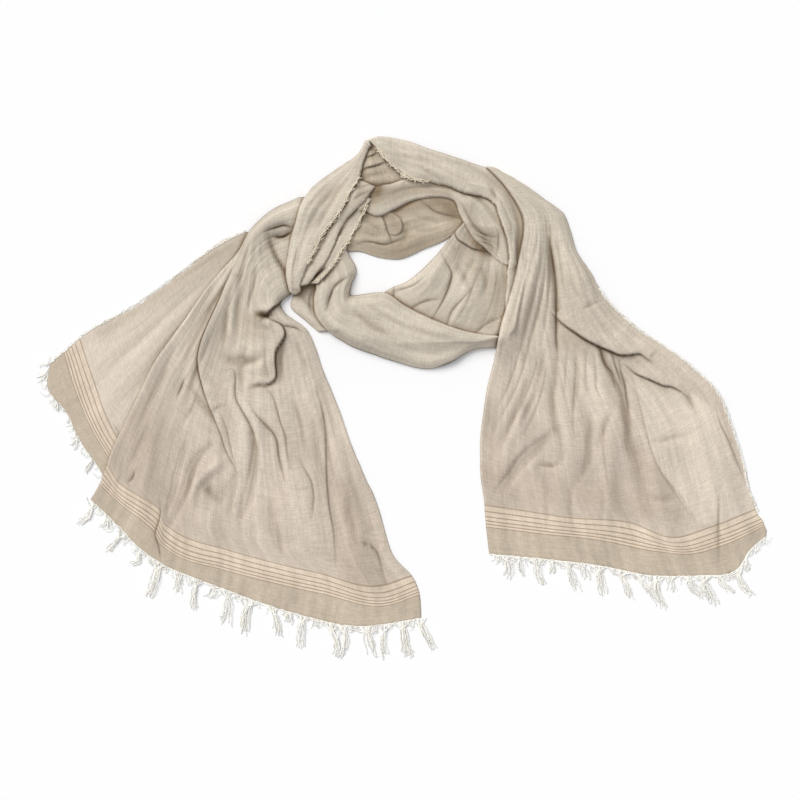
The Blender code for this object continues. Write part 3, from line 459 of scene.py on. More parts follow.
RIGHT_FOLDS = (
    ("inner ridge", SOFT, 13, 4, 0, (162, 222, 162, 166, 130, 66)),
    ("outer ridge", SOFT, 14, 4, 0, (199, 192, 222, 132, 266, 82)),
    ("shoulder trough", SOFT, 8, -2.6, 0, (182, 202, 187, 132, 188, 66)),
    ("shoulder line", CREASE, 3, -2.6, 0.5, (179, 194, 184, 166, 187, 142, 188, 98, 188, 70,
        190, 48)),
    ("shoulder line softens", SOFT, 5, -1.5, 0.28, (188, 70, 187, 28, 184, 6, 184, -7, 188, -36,
        193, -52, 196, -70)),
    ("shoulder hook", SOFT, 4, -0.9, 0.14, (196, -62, 194, -72, 190, -77, 180, -79, 169, -78,
        167, -97)),
    ("flap", LAP, 15, 4.8, 0.9, (186, 102, 198, 90, 210, 82, 222, 74, 240, 65, 254, 59, 264, 55,
        276, 55, 288, 56, 298, 49)),
    ("second flap", LAP, 12, 3, 0.6, (274, 40, 284, 32, 294, 28, 306, 23, 318, 18, 326, 17, 336, 12,
        344, 6)),
    ("second flap fades", SOFT, 4, -1.6, 0.25, (342, 14, 348, 1, 355, -14)),
    ("flap notch", CREASE, 3, -2.4, 0.6, (240, 65, 244, 50, 248, 41, 254, 34, 259, 14)),
    ("long trough", SOFT, 4.8, -2.8, 0.65, (241, 66, 245, 50, 252, 34, 262, 18, 268, 2, 271, -13,
        274, -32, 275, -52, 281, -68, 287, -84)),
    ("beside the trough", CREASE, 2.6, -2, 0.55, (263, 48, 266, 32, 270, 19, 272, 5, 274, -10,
        274, -25)),
    ("trough fork", CREASE, 2.4, -1.6, 0.45, (254, 58, 259, 41, 265, 24, 269, 12)),
    ("long trough 2", SOFT, 4.5, -1.2, 0.2, (278, -48, 282, -72, 286, -86, 290, -102, 292, -121)),
    ("long ridge", SOFT, 14, 3, 0, (245, 24, 254, -48, 240, -174)),
    ("second ridge", SOFT, 15, 2.8, 0, (288, 0, 307, -84, 298, -192)),
    ("inner streak", SOFT, 13, 2.4, 0, (156, 24, 130, -48, 120, -144)),
    ("middle ridge", SOFT, 15, 2.4, 0, (206, 24, 199, -72, 192, -174)),
    ("outer wave", SOFT, 15, 2.2, 0, (336, 0, 374, -84, 394, -168)),
    ("neck streak 1", SOFT, 4, -1.6, 0.2, (166, 214, 164, 192, 155, 158, 145, 115, 139, 78)),
    ("neck streak 2", SOFT, 4, -1.6, 0.2, (172, 206, 169, 166, 164, 142, 155, 104, 145, 60)),
    ("neck streak 3", SOFT, 3.6, -1.5, 0.18, (179, 192, 182, 166, 184, 132)),
    ("neck streak 4", SOFT, 4, -1.4, 0.16, (192, 186, 202, 158, 208, 134, 220, 115)),
    ("neck streak 5", SOFT, 3.4, -1.2, 0.14, (157, 226, 154, 192, 144, 154)),
    ("neck streak 6", SOFT, 3, -1.3, 0.2, (161, 221, 157, 192, 150, 158, 138, 120, 128, 84,
        120, 53)),
    ("neck streak 7", SOFT, 2.8, -1.2, 0.18, (176, 214, 175, 180, 173, 144, 167, 110, 158, 77,
        149, 46)),
    ("neck streak 8", SOFT, 2.6, -1.1, 0.18, (181, 209, 179, 174, 179, 138, 176, 102, 170, 66)),
    ("neck streak 9", SOFT, 2.8, -1.2, 0.18, (187, 192, 192, 166, 196, 138, 202, 114)),
    ("neck streak 10", SOFT, 2.6, -1, 0.14, (198, 192, 209, 166, 220, 142, 230, 120)),
    ("neck streak 11", SOFT, 2.6, -1.1, 0.18, (151, 209, 146, 180, 139, 149, 130, 115)),
    ("outer crease", CREASE, 2.6, -1.3, 0.38, (220, 110, 228, 115, 238, 119)),
    ("edge fold", SOFT, 5, -1.4, 0.14, (228, 138, 242, 110, 266, 89)),
    ("inner trough 1", SOFT, 5, -2.2, 0.3, (156, 29, 143, -5, 130, -36, 119, -62)),
    ("inner trough 2", SOFT, 4, -1.4, 0.2, (164, 10, 156, -7, 146, -29)),
    ("inner trough 3", SOFT, 6, -2, 0.3, (188, -38, 175, -49, 163, -59, 150, -70, 137, -86,
        121, -110)),
    ("inner trough 4", SOFT, 3, -1.1, 0.2, (184, -36, 168, -50, 152, -62, 138, -77, 125, -96)),
    ("inner trough 5", SOFT, 3, -1, 0.2, (170, -61, 156, -72, 143, -85, 130, -106)),
    ("inner small crease", CREASE, 2.6, -1, 0.22, (167, -78, 176, -79, 187, -80)),
    ("middle trough", SOFT, 5, -1.8, 0.24, (229, -19, 228, -46, 226, -72, 216, -98)),
    ("middle trough 2", SOFT, 4.5, -1.5, 0.2, (254, -12, 247, -31, 239, -56)),
    ("middle streak 1", SOFT, 4, -1.2, 0.14, (210, 60, 214, 24, 209, -12)),
    ("middle streak 2", SOFT, 4, -1.2, 0.14, (174, 60, 168, 30, 163, 10)),
    ("layer edge", CREASE, 1.8, -0.6, 0.22, (277, 34, 282, 18, 288, -6, 295, -36, 306, -72, 314, -88,
        324, -100, 336, -114, 356, -144)),
    ("layer edge 2", CREASE, 1.8, -0.5, 0.2, (307, -76, 318, -94, 332, -114, 352, -143)),
    ("fine line 1", CREASE, 2.4, -0.9, 0.14, (224, 62, 223, 41, 224, 12)),
    ("fine line 2", CREASE, 2.4, -1, 0.16, (233, 59, 235, 34, 236, 14, 246, -6)),
    ("fine line 3", CREASE, 2.4, -0.9, 0.14, (212, 58, 210, 16, 208, -23, 209, -48)),
    ("fine line 4", CREASE, 2.4, -0.8, 0.12, (202, 66, 199, 36, 198, 2)),
    ("fine line 5", CREASE, 2.4, -0.9, 0.14, (168, 58, 161, 31, 151, 5, 128, -40)),
    ("fine line 6", CREASE, 2.4, -0.9, 0.14, (157, 70, 140, 16, 127, -10, 115, -34)),
    ("fine line 7", CREASE, 2.4, -0.9, 0.14, (178, 50, 169, 5, 160, -19, 149, -41)),
    ("fine line 8", CREASE, 2.4, -0.8, 0.12, (136, -84, 122, -98, 110, -118)),
    ("fine line 9", CREASE, 2.4, -0.8, 0.12, (146, 66, 133, 24, 116, -14)),
    ("fine line 10", CREASE, 2.4, -0.8, 0.12, (246, -24, 244, -55, 247, -84, 254, -115)),
    ("level crease", SOFT, 4, -0.9, 0.12, (298, -53, 324, -47, 350, -41)),
    ("low dent", SOFT, 5, -1.6, 0.2, (304, -118, 317, -121, 329, -119)),
    ("outer vertical", CREASE, 3, -1.6, 0.32, (383, -108, 383, -144, 383, -174, 383, -205)),
    ("turned selvage", CREASE, 2.4, -1.2, 0.32, (380, -10, 386, -30, 394, -46, 402, -66, 410, -86,
        415, -103)),
    ("stripe dip", SOFT, 10, -1.4, 0, (341, -144, 336, -178, 334, -206)),
    ("hem streak 1", SOFT, 4, -1, 0.12, (174, -84, 178, -120, 175, -156)),
    ("hem streak 2", SOFT, 4, -1, 0.12, (240, -84, 245, -120, 241, -156)),
    ("hem streak 3", SOFT, 4, -0.9, 0.1, (210, -96, 206, -126, 209, -162)),
)

NAPE_FOLDS = (
    ("tab", LAP, 6, 2, 0.32, (-16, 203, -10, 199, -4, 199, 1, 203, 2, 209, 0, 216, -6, 222,
        -14, 226, -20, 226)),
    ("over the tab", LAP, 7, 1.8, 0.6, (-11, 188, -13, 196, -17, 204, -19, 212, -23, 221, -26, 228)),
    ("level fold", CREASE, 3, -2.4, 0.7, (-50, 187, -44, 190, -36, 190, -17, 187, -4, 191, 5, 194)),
    ("beside the tab", SOFT, 5, -2, 0.5, (8, 209, 7, 197, -2, 185)),
    ("slanting fold", CREASE, 3, -2, 0.5, (24, 240, 32, 234, 40, 228, 49, 224, 62, 221, 74, 218)),
    ("streak 1", SOFT, 3.4, -1, 0.2, (12, 226, 30, 217, 53, 214)),
    ("streak 2", SOFT, 3.4, -1, 0.2, (6, 210, 24, 203, 48, 204)),
    ("streak 3", SOFT, 3.4, -1, 0.2, (-46, 216, -31, 209, -19, 197)),
    ("streak 4", SOFT, 3.4, -1, 0.2, (-46, 202, -34, 198, -19, 197)),
    ("lower edge", SOFT, 4, -1.2, 0.3, (-36, 180, -6, 176, 24, 186, 48, 197)),
)

STRAND_FOLDS = (
    ("first ridge", SOFT, 9, 2.6, 0, (48, 166, 36, 144, 2, 125)),
    ("second ridge", SOFT, 9, 2.6, 0, (82, 166, 77, 120, 58, 84)),
    ("first trough", CREASE, 3.4, -2.6, 0.55, (48, 180, 55, 166, 62, 152, 59, 137, 52, 120, 38, 96)),
    ("second trough", SOFT, 5, -2.6, 0.4, (68, 166, 82, 138, 86, 127)),
    ("third trough", CREASE, 3, -2, 0.45, (56, 89, 62, 106, 74, 120, 85, 131)),
    ("fourth trough", CREASE, 3, -1.8, 0.4, (89, 79, 102, 90, 121, 100)),
    ("left line", CREASE, 2.4, -1.6, 0.4, (-7, 139, -8, 121)),
    ("left fold 1", CREASE, 2.6, -1.8, 0.5, (-10, 130, 5, 134, 18, 139, 30, 149)),
    ("left fold 2", CREASE, 2.6, -1.6, 0.45, (11, 108, 22, 115, 36, 120, 49, 121)),
    ("streak 1", SOFT, 3.4, -1.4, 0.25, (66, 180, 86, 158, 108, 150)),
    ("streak 2", SOFT, 3.4, -1.4, 0.25, (96, 166, 104, 142, 101, 114)),
    ("streak 3", SOFT, 3.4, -1.3, 0.22, (116, 166, 119, 138, 115, 108)),
    ("streak 4", SOFT, 3.4, -1.2, 0.22, (36, 154, 29, 139, 12, 127)),
    ("lower edge of the strand", LAP, 5, 2.4, 0.95, (73, 209, 67, 202, 70, 194, 79, 188, 89, 182,
        98, 180, 108, 178)),
    ("pit", SOFT, 5, -3, 0.7, (98, 185, 106, 178, 109, 170)),
    ("upper dent", SOFT, 7, -2, 0.2, (67, 185, 77, 175, 84, 166)),
    ("fan 1", SOFT, 3.2, -1.1, 0.16, (94, 173, 80, 151, 70, 130)),
    ("fan 2", CREASE, 2, -0.8, 0.22, (101, 166, 89, 139, 77, 110, 65, 91)),
    ("fan 3", SOFT, 3.6, -1.3, 0.20, (109, 166, 103, 139, 91, 110)),
    ("fan 4", CREASE, 2, -0.8, 0.25, (118, 161, 114, 132, 106, 106, 96, 84)),
    ("fan 5", SOFT, 3.2, -1.1, 0.25, (125, 166, 124, 132, 120, 101)),
    ("low light", SOFT, 5, 1.4, 0, (94, 79, 110, 79, 119, 94)),
)

APEX_FOLDS = (
    ("upper line", LAP, 6, 1.6, 0.7, (-42, 293, -37, 294, -32, 296, -28, 299)),
    ("lower line", LAP, 7, 2, 0.85, (-48, 277, -40, 280, -32, 282, -25, 284, -16, 288)),
    ("third line", SOFT, 3, -1.2, 0.3, (-48, 266, -29, 271, -10, 274)),
    ("lower dent", CREASE, 3, -1.6, 0.5, (-52, 263, -40, 259, -28, 258, -14, 260, -2, 263)),
)

TUCK_FOLDS = (
    ("streak 1", SOFT, 3, -1, 0.2, (-122, 130, -113, 118, -98, 103)),
    ("streak 2", CREASE, 2.4, -1.2, 0.3, (-104, 134, -109, 120, -107, 106)),
)

ROLL_FOLDS = (
    ("long fold", SOFT, 6, -1.4, 0.1, (-14, 234, 24, 250, 67, 250)),
    ("long line", SOFT, 3, -1.2, 0.2, (-22, 240, 2, 251, 36, 256, 66, 251)),
    ("pillow fold", CREASE, 3, -2.6, 0.5, (74, 234, 84, 216, 96, 202, 110, 192)),
    ("pillow pleat 1", CREASE, 2.4, -2.2, 0.5, (82, 214, 94, 202, 109, 196, 118, 194)),
    ("pillow pleat 2", CREASE, 2.4, -2.2, 0.55, (89, 199, 102, 193, 113, 188)),
    ("pillow pleat 3", CREASE, 2.4, -2, 0.6, (96, 190, 107, 187, 114, 181)),
    ("pit", SOFT, 5, -3.6, 0.6, (103, 192, 110, 184, 107, 173)),
    ("pillow ridge", SOFT, 9, 3, 0, (74, 245, 96, 228, 110, 209)),
    ("pillow streak", SOFT, 3, -1.2, 0.15, (84, 250, 103, 233, 120, 209)),
    ("pit side", CREASE, 2.6, -1.8, 0.45, (118, 202, 118, 187, 115, 173)),
)

FRONT_FOLDS = (
    ("bib ridge", SOFT, 12, 3, 0, (-70, 132, -72, 90, 0, 66)),
    ("inner fold", CREASE, 3.4, -2.8, 0.6, (-58, 149, -70, 143, -78, 136, -83, 125, -88, 107)),
    ("layer edge", LAP, 9, 2.4, 0.6, (36, 34, 48, 41, 66, 49, 90, 59)),
    ("bib streak 1", SOFT, 4, -1.4, 0.16, (-62, 114, -34, 89, 12, 70)),
    ("bib streak 2", SOFT, 4, -1.3, 0.16, (-48, 120, -14, 98, 29, 78)),
    ("bib streak 3", SOFT, 4, -1.3, 0.16, (-72, 94, -41, 72, 0, 55)),
    ("bib streak 4", SOFT, 3.6, -1.2, 0.16, (0, 98, 34, 79, 67, 72)),
    ("bib streak 5", SOFT, 3.6, -1.1, 0.14, (-26, 118, -5, 106, 19, 94)),
)

CROWN_FOLDS = (
    ("long ridge", SOFT, 11, 2.6, 0, (-18, 302, 36, 290, 101, 264)),
    ("short trough", SOFT, 3.2, -1.8, 0.3, (22, 281, 36, 271, 50, 263)),
    ("bend trough", SOFT, 4, -1.6, 0.14, (34, 284, 66, 268, 98, 251)),
    ("bend notch", SOFT, 3.2, -1.8, 0.3, (108, 254, 113, 247, 116, 238)),
    ("bend ridge", SOFT, 4, 1.6, 0, (98, 259, 106, 252, 109, 242)),
    ("streak 1", SOFT, 3.6, -1.2, 0.15, (-19, 305, 24, 298, 74, 281)),
    ("streak 2", SOFT, 3.6, -1.2, 0.15, (-14, 295, 14, 290, 48, 281)),
    ("streak 3", SOFT, 3.4, -1.1, 0.15, (60, 288, 94, 276, 120, 254)),
    ("strip streak", SOFT, 3, -1, 0.16, (130, 245, 142, 214, 140, 173, 134, 132)),
    ("strip streak 2", SOFT, 2.6, -0.9, 0.14, (122, 235, 133, 209, 134, 180)),
)

LAPEL_FOLDS = (
    ("outer ridge", SOFT, 10, 2.4, 0, (-66, 274, -110, 240, -121, 180)),
    ("inner trough", SOFT, 6, -2, 0.18, (-58, 269, -84, 234, -110, 186)),
    ("outer streak", SOFT, 3.4, -1.2, 0.16, (-84, 262, -110, 228, -124, 186)),
    ("middle streak", SOFT, 3.4, -1.2, 0.16, (-66, 264, -94, 234, -116, 192, -125, 156)),
    ("lower gather", CREASE, 2.6, -1.2, 0.3, (-121, 185, -127, 163, -130, 139)),
)

LAPEL_INNER_FOLDS = (
    ("radial 1", CREASE, 2.4, -1.2, 0.35, (-29, 259, -41, 257, -53, 252)),
    ("radial 2", CREASE, 2.4, -1.2, 0.35, (-30, 253, -43, 247, -58, 238)),
    ("long streak", SOFT, 3, -1.2, 0.2, (-58, 245, -79, 216, -101, 180)),
    ("lower streak", SOFT, 3, -1, 0.2, (-84, 197, -101, 173, -113, 149)),
)

LAPEL_UNDER_FOLDS = (
    ("slit", CREASE, 2.6, -3, 2, (-113, 136, -107, 142, -100, 149, -90, 158)),
    ("long streak", SOFT, 3, -1.2, 0.2, (-53, 230, -70, 202, -89, 168)),
)

# The fields of a Patch in each row. Amounts under 0 are painted shade; over 0 they are painted light, and
# in the single layer the paleness of one layer of gauze.
NAPE_PATCHES = (
    ("slit under the roll", 1.6, -1.3, (-11, 227, -4, 231, 5, 237, 14, 241, 24, 242, 14, 237, 5, 232,
        -4, 226)),
    ("corner under the roll", 8, -0.30, (38, 245, 67, 242, 82, 214, 60, 217, 41, 229)),
    ("lower left", 8, -0.22, (-66, 188, -30, 186, 5, 192, 5, 163, -66, 163)),
    ("lower right", 10, -0.26, (0, 202, 36, 197, 74, 214, 89, 202, 36, 166, 0, 163)),
    ("under the roll", 6, -0.40, (-34, 223, -7, 232, 13, 241, 41, 246, 65, 240, 79, 216, 62, 214,
        48, 234, 14, 229, -6, 221)),
    ("tab", 3, -0.25, (-16, 218, -7, 221, 0, 211, 1, 203, -8, 202)),
)

STRAND_PATCHES = (
    ("slit beside the end", 4, -0.5, (126, 146, 132, 163, 146, 163, 146, 91, 126, 91)),
    ("hollow at the pillow", 4, -0.4, (84, 194, 113, 192, 115, 178, 101, 175, 89, 182)),
    ("pit", 6, -0.45, (91, 192, 120, 192, 120, 173, 103, 170, 91, 180)),
    ("strip under the pillow", 4, -0.25, (73, 211, 84, 202, 101, 185, 84, 186, 68, 197)),
    ("beside the end", 9, -0.30, (103, 149, 139, 168, 139, 77, 94, 77)),
    ("upper", 9, -0.30, (55, 197, 101, 180, 106, 144, 84, 149, 60, 166)),
)

# Painted shade, and painted light in the lit areas.
LEFT_FRONT_PATCHES = (
    ("left side in shade", 16, -0.22, (-348, 2, -298, 10, -278, -48, -274, -120, -300, -132,
        -353, -84)),
    ("beside the hem pleat", 9, -0.12, (-278, -106, -244, -106, -242, -192, -274, -192)),
    ("right dip", 10, -0.26, (-86, -96, -58, -96, -31, -144, -14, -228, -66, -230, -79, -192)),
    ("centre lit", 9, 1, (-194, 2, -166, 2, -156, -60, -166, -106, -192, -96, -197, -36)),
    ("middle lit", 8, 0.5, (-125, -79, -101, -79, -96, -168, -122, -174)),
    ("drape side", 5, -0.30, (-192, 106, -166, 103, -166, 74, -190, 74)),
    ("drape mouth", 2.5, -0.9, (-173, 104, -166, 107, -158, 104, -161, 100, -170, 100)),
)

ROLL_PATCHES = (
    ("gap at the lining", 1.6, -1, (-34, 252, -29, 256, -23, 258, -25, 254, -30, 250)),
    ("pleats", 7, -0.36, (77, 230, 103, 209, 120, 202, 118, 173, 96, 180, 82, 197)),
    ("under the crown", 5, -0.42, (-41, 257, 5, 260, 60, 253, 62, 240, 24, 247, -19, 235)),
    ("left hollow", 5, -0.6, (-53, 259, -19, 259, -26, 235, -48, 228)),
)

LAPEL_INNER_PATCHES = (
    ("gathers", 6, -0.32, (-60, 259, -26, 259, -31, 233, -55, 233)),
)

LAPEL_UNDER_PATCHES = (
    ("gap at the roll", 1.6, -1.2, (-48, 226, -44, 230, -40, 234, -40, 229, -44, 223)),
)

LEFT_UNDER_PATCHES = (
    ("darker upper edge", 8, -0.35, (-185, 197, -252, 166, -324, 110, -365, 84, -360, 72, -312, 103,
        -245, 149, -185, 185)),
)

# Painted shade, painted light where lit and under the flap, and the paleness of the single layer.
RIGHT_PATCHES = (
    ("lower left", 14, -0.22, (101, -82, 192, -91, 264, -96, 295, -134, 192, -134, 103, -126)),
    ("beside the single layer", 8, -0.20, (281, -48, 307, -74, 322, -98, 350, -142, 288, -144,
        278, -96)),
    ("left edge", 8, -0.18, (98, 5, 120, 5, 120, -96, 98, -96)),
    ("shoulder lit", 9, 0.5, (144, 138, 161, 197, 187, 197, 175, 132, 175, 77, 146, 66)),
    ("below the shoulder", 6, -0.28, (192, 101, 221, 72, 218, 55, 192, 65)),
    ("single layer", 1.6, 0.7, (278, 34, 288, -6, 295, -36, 306, -72, 324, -100, 356, -144,
        374, -156, 428, -134, 416, -101, 402, -66, 383, -14, 348, 10, 306, 22)),
    ("flap underside", 3, 0.5, (233, 65, 245, 53, 247, 34, 245, 0, 230, -2, 228, 36)),
)

LEFT_FRINGE = (
    Tassel(0.015, 30, -4), Tassel(0.07, 17, -3, 6), Tassel(0.13, 30, -4), Tassel(0.19, 20, 2, 7),
    Tassel(0.257, 42, -3, 14), Tassel(0.31, 22, 4, 7), Tassel(0.367, 34, 5), Tassel(0.415, 18, -3, 6),
    Tassel(0.458, 38, 2), Tassel(0.524, 40, 0, 14), Tassel(0.588, 30, 12, 14), Tassel(0.63, 14, 2, 6),
    Tassel(0.673, 36, 0), Tassel(0.745, 36, 14, 14), Tassel(0.79, 34, 0), Tassel(0.845, 34, 12),
    Tassel(0.90, 38, 3), Tassel(0.948, 42, 8, 16), Tassel(0.99, 38, 16, 14),
)

LEFT_UNDER_FRINGE = (
    Tassel(0.004, 18, -12, 2), Tassel(0.06, 18, -6, 6), Tassel(0.30, 10, 2, 5),
    Tassel(0.60, 13, 4, 6), Tassel(0.78, 15, 5, 9),
)

RIGHT_FRINGE = (
    Tassel(0.05, 26, -2), Tassel(0.10, 22, 4, 7), Tassel(0.16, 30, 3), Tassel(0.21, 16, -2, 6),
    Tassel(0.26, 32, 3), Tassel(0.31, 18, 2, 6), Tassel(0.365, 34, -2, 14), Tassel(0.44, 32, 4),
    Tassel(0.50, 26, 14, 10), Tassel(0.565, 38, 0, 14), Tassel(0.62, 18, -4, 6), Tassel(0.67, 28, 14, 9),
    Tassel(0.72, 36, 3, 14), Tassel(0.78, 22, 9, 8), Tassel(0.84, 34, 6, 14), Tassel(0.90, 16, 3, 6),
)


def linear(hex_colour: str) -> tuple[float, float, float, float]:
    """Turns an sRGB hex colour to linear.

    Args:
        hex_colour: Six hex digits, such as "CBBDAC".

    Returns:
        Linear red, green, blue and an alpha of 1.
    """
    shares = [int(hex_colour[k : k + 2], 16) / 255 for k in (0, 2, 4)]
    return (*((s / 12.92 if s <= 0.04045 else ((s + 0.055) / 1.055) ** 2.4) for s in shares), 1.0)


def plan_points(flat: tuple[float, ...]) -> np.ndarray:
    """Returns a table's x and y values as a row of plan points."""
    return np.array(flat, float).reshape(-1, 2)


def spline(knots: np.ndarray, values: np.ndarray, at: np.ndarray) -> np.ndarray:
    """Reads a smooth curve through values at uneven knots.

    Args:
        knots: Where the values stand along the curve.
        values: One value or point for each knot.
        at: Places to read.

    Returns:
        The curve at those places.
    """
    knots = np.asarray(knots, float)
    values = np.asarray(values, float)
    slopes = np.gradient(values, knots, axis=0)
    index = np.clip(np.searchsorted(knots, at, side="right") - 1, 0, len(knots) - 2)
    shape = (-1,) + (1,) * (values.ndim - 1)
    step = (knots[index + 1] - knots[index]).reshape(shape)
    t = (np.asarray(at) - knots[index]).reshape(shape) / step
    start = (1 + 2 * t) * (1 - t) ** 2 * values[index] + t * (1 - t) ** 2 * step * slopes[index]
    end = t * t * (3 - 2 * t) * values[index + 1] - t * t * (1 - t) * step * slopes[index + 1]
    return start + end


def lengths_along(points: np.ndarray) -> np.ndarray:
    """Returns the distance along a row of points, starting at 0."""
    steps = np.linalg.norm(np.diff(np.asarray(points, float), axis=0), axis=1)
    return np.concatenate([[0.0], np.cumsum(steps)])


def smooth_path(points: np.ndarray, count: int) -> np.ndarray:
    """Returns count even points on a smooth curve through plan points."""
    lengths = lengths_along(points)
    return spline(lengths, points, np.linspace(0, lengths[-1], count))


def spaced(length: float, count: int) -> np.ndarray:
    """Places columns or rows, close together near both edges so that they can round.

    Args:
        length: From edge to edge, in millimetres.
        count: Number of even places between the two edge zones.

    Returns:
        Distances from the first edge.
    """
    inset = np.array(EDGE_INSETS) * min(1.0, length / 2 / EDGE_ZONE)
    inner = np.linspace(inset[-1], length - inset[-1], count)
    return np.concatenate([inset[:-1], inner, length - inset[-2::-1]])


def odd(number: float) -> int:
    """Returns the nearest odd count, 7 or more, which gives a grid an even number of cells."""
    return max(7, 2 * round((number - 1) / 2) + 1)


def noise(rng: np.random.Generator, across: np.ndarray, along: np.ndarray, cell: tuple) -> np.ndarray:
    """Smooth random waves in cloth coordinates.

    Args:
        rng: Seeded source of the lattice's values.
        across: Distance across the cloth.
        along: Distance along the cloth.
        cell: Size of a wave across and along.

    Returns:
        Values from about -1 to 1.
    """
    x = (across - across.min()) / cell[0]
    y = (along - along.min()) / cell[1]
    lattice = rng.uniform(-1, 1, (int(x.max()) + 3, int(y.max()) + 3))
    i, j = x.astype(int), y.astype(int)
    u, v = x - i, y - j
    u, v = u * u * (3 - 2 * u), v * v * (3 - 2 * v)
    low = lattice[i, j] * (1 - u) + lattice[i + 1, j] * u
    high = lattice[i, j + 1] * (1 - u) + lattice[i + 1, j + 1] * u
    return low * (1 - v) + high * v


def blurred(heights: np.ndarray, sigma: float) -> np.ndarray:
    """Softens a height map.

    Args:
        heights: The map.
        sigma: Radius of the softening, in cells.

    Returns:
        The softened map.
    """
    reach = math.ceil(2.5 * sigma)
    weights = np.exp(-0.5 * (np.arange(-reach, reach + 1) / sigma) ** 2)
    weights /= weights.sum()
    for axis in (0, 1):
        pads = [(reach, reach) if k == axis else (0, 0) for k in (0, 1)]
        padded = np.pad(heights, pads, mode="edge")
        size = heights.shape[axis]
        heights = sum(w * np.take(padded, range(k, k + size), axis) for k, w in enumerate(weights))
    return heights


def spread_out(heights: np.ndarray, reach: int) -> np.ndarray:
    """Widens all that is high on a height map.

    Args:
        heights: The map.
        reach: How many cells it widens by.

    Returns:
        The map with each cell at the highest within reach.
    """
    for _ in range(reach):
        grown = heights
        for step, axis in ((1, 0), (-1, 0), (1, 1), (-1, 1)):
            grown = np.maximum(grown, np.roll(heights, step, axis))
        heights = grown
    return heights


@dataclass(repr=False)
class HeightMap:
    """The top of what lies on the floor so far, on a grid of millimetre cells."""

    low: tuple[int, int] = (-480, -360)
    size: tuple[int, int] = (960, 720)
    heights: np.ndarray = field(init=False)

    def __post_init__(self) -> None:
        """Starts with the bare floor."""
        self.heights = np.zeros(self.size)

    def read(self, heights: np.ndarray, plan: np.ndarray) -> np.ndarray:
        """Reads a map at plan points, straight between its cells.

        Args:
            heights: A map of this grid's size.
            plan: Plan points, in the last axis.

        Returns:
            One height for each point.
        """
        place = np.clip(plan - self.low, 0, np.array(self.size) - 1.001)
        i, j = place[..., 0].astype(int), place[..., 1].astype(int)
        u, v = place[..., 0] - i, place[..., 1] - j
        low = heights[i, j] * (1 - u) + heights[i + 1, j] * u
        high = heights[i, j + 1] * (1 - u) + heights[i + 1, j + 1] * u
        return low * (1 - v) + high * v

    def window(self, plan: np.ndarray) -> tuple[slice, slice]:
        """Finds the part of the grid that holds a stretch and a margin.

        Args:
            plan: Plan points of the stretch.

        Returns:
            Its rows and its columns.
        """
        low = np.floor(plan.reshape(-1, 2).min(axis=0) - self.low).astype(int) - MAP_MARGIN
        high = np.ceil(plan.reshape(-1, 2).max(axis=0) - self.low).astype(int) + MAP_MARGIN
        return tuple(slice(max(a, 0), b) for a, b in zip(low, high))

    def settled(self, plan: np.ndarray, sigma: float, reach: int) -> tuple[np.ndarray, np.ndarray]:
        """Lays a cloth on what is there, bridging its steps and never below it.

        Args:
            plan: Plan points of the cloth.
            sigma: How far the cloth bridges, in millimetres.
            reach: How far a step holds the cloth up at full height, in millimetres.

        Returns:
            The floor under each point, and the settled cloth's underside.
        """
        window = self.window(plan)
        crop = self.heights[window]
        near = spread_out(crop, 1)
        tall = spread_out(crop, reach)
        soft = tall
        for _ in range(BRIDGE_ROUNDS):
            soft = np.maximum(tall, blurred(soft, sigma))
        whole = [np.zeros(self.size), np.zeros(self.size)]
        whole[0][window] = near
        whole[1][window] = soft
        return self.read(whole[0], plan), self.read(whole[1], plan)

    def painted_shade_in_recesses(self, plan: np.ndarray, top: np.ndarray) -> np.ndarray:
        """Works out the shade painted on each point, as deep as it lies in a dip or beside a higher edge.

        Args:
            plan: Plan points.
            top: Their heights.

        Returns:
            Painted shade, 0 in the open to 1 where little light comes in.
        """
        window = self.window(plan)
        shade = np.zeros(plan.shape[:2])
        for sigma, depth, share in PAINTED_RECESS_SHADE:
            whole = np.zeros(self.size)
            whole[window] = blurred(self.heights[window], sigma)
            shade += share * np.clip((self.read(whole, plan) - top - 0.15) / depth, 0, 1)
        return shade

    def lay(self, plan: np.ndarray, top: np.ndarray) -> None:
        """Raises the map to the top of a stretch that was just laid.

        Args:
            plan: Plan grid of the stretch.
            top: Height of each of its points.
        """
        grid = np.dstack([plan, top])
        shares = np.linspace(0, 1, LAY_STEPS)
        for u in shares:
            side = grid[:-1] * (1 - u) + grid[1:] * u
            for v in shares:
                spot = side[:, :-1] * (1 - v) + side[:, 1:] * v
                cell = np.round(spot[..., :2] - self.low).astype(int)
                np.maximum.at(self.heights, (cell[..., 0], cell[..., 1]), spot[..., 2])


def add_node(tree: bpy.types.NodeTree, kind: str, inputs: dict, **settings: object) -> bpy.types.Node:
    """Adds one node with its settings and what its inputs hold or link to.

    Args:
        tree: The material's node tree.
        kind: Blender's name of the node type.
        inputs: Values or output sockets by input name or number.
        settings: The node's own properties.

    Returns:
        The new node.
    """
    node = tree.nodes.new(kind)
    for name, value in settings.items():
        setattr(node, name, value)
    for name, value in inputs.items():
        if isinstance(value, bpy.types.NodeSocket):
            tree.links.new(value, node.inputs[name])
        else:
            node.inputs[name].default_value = value
    return node


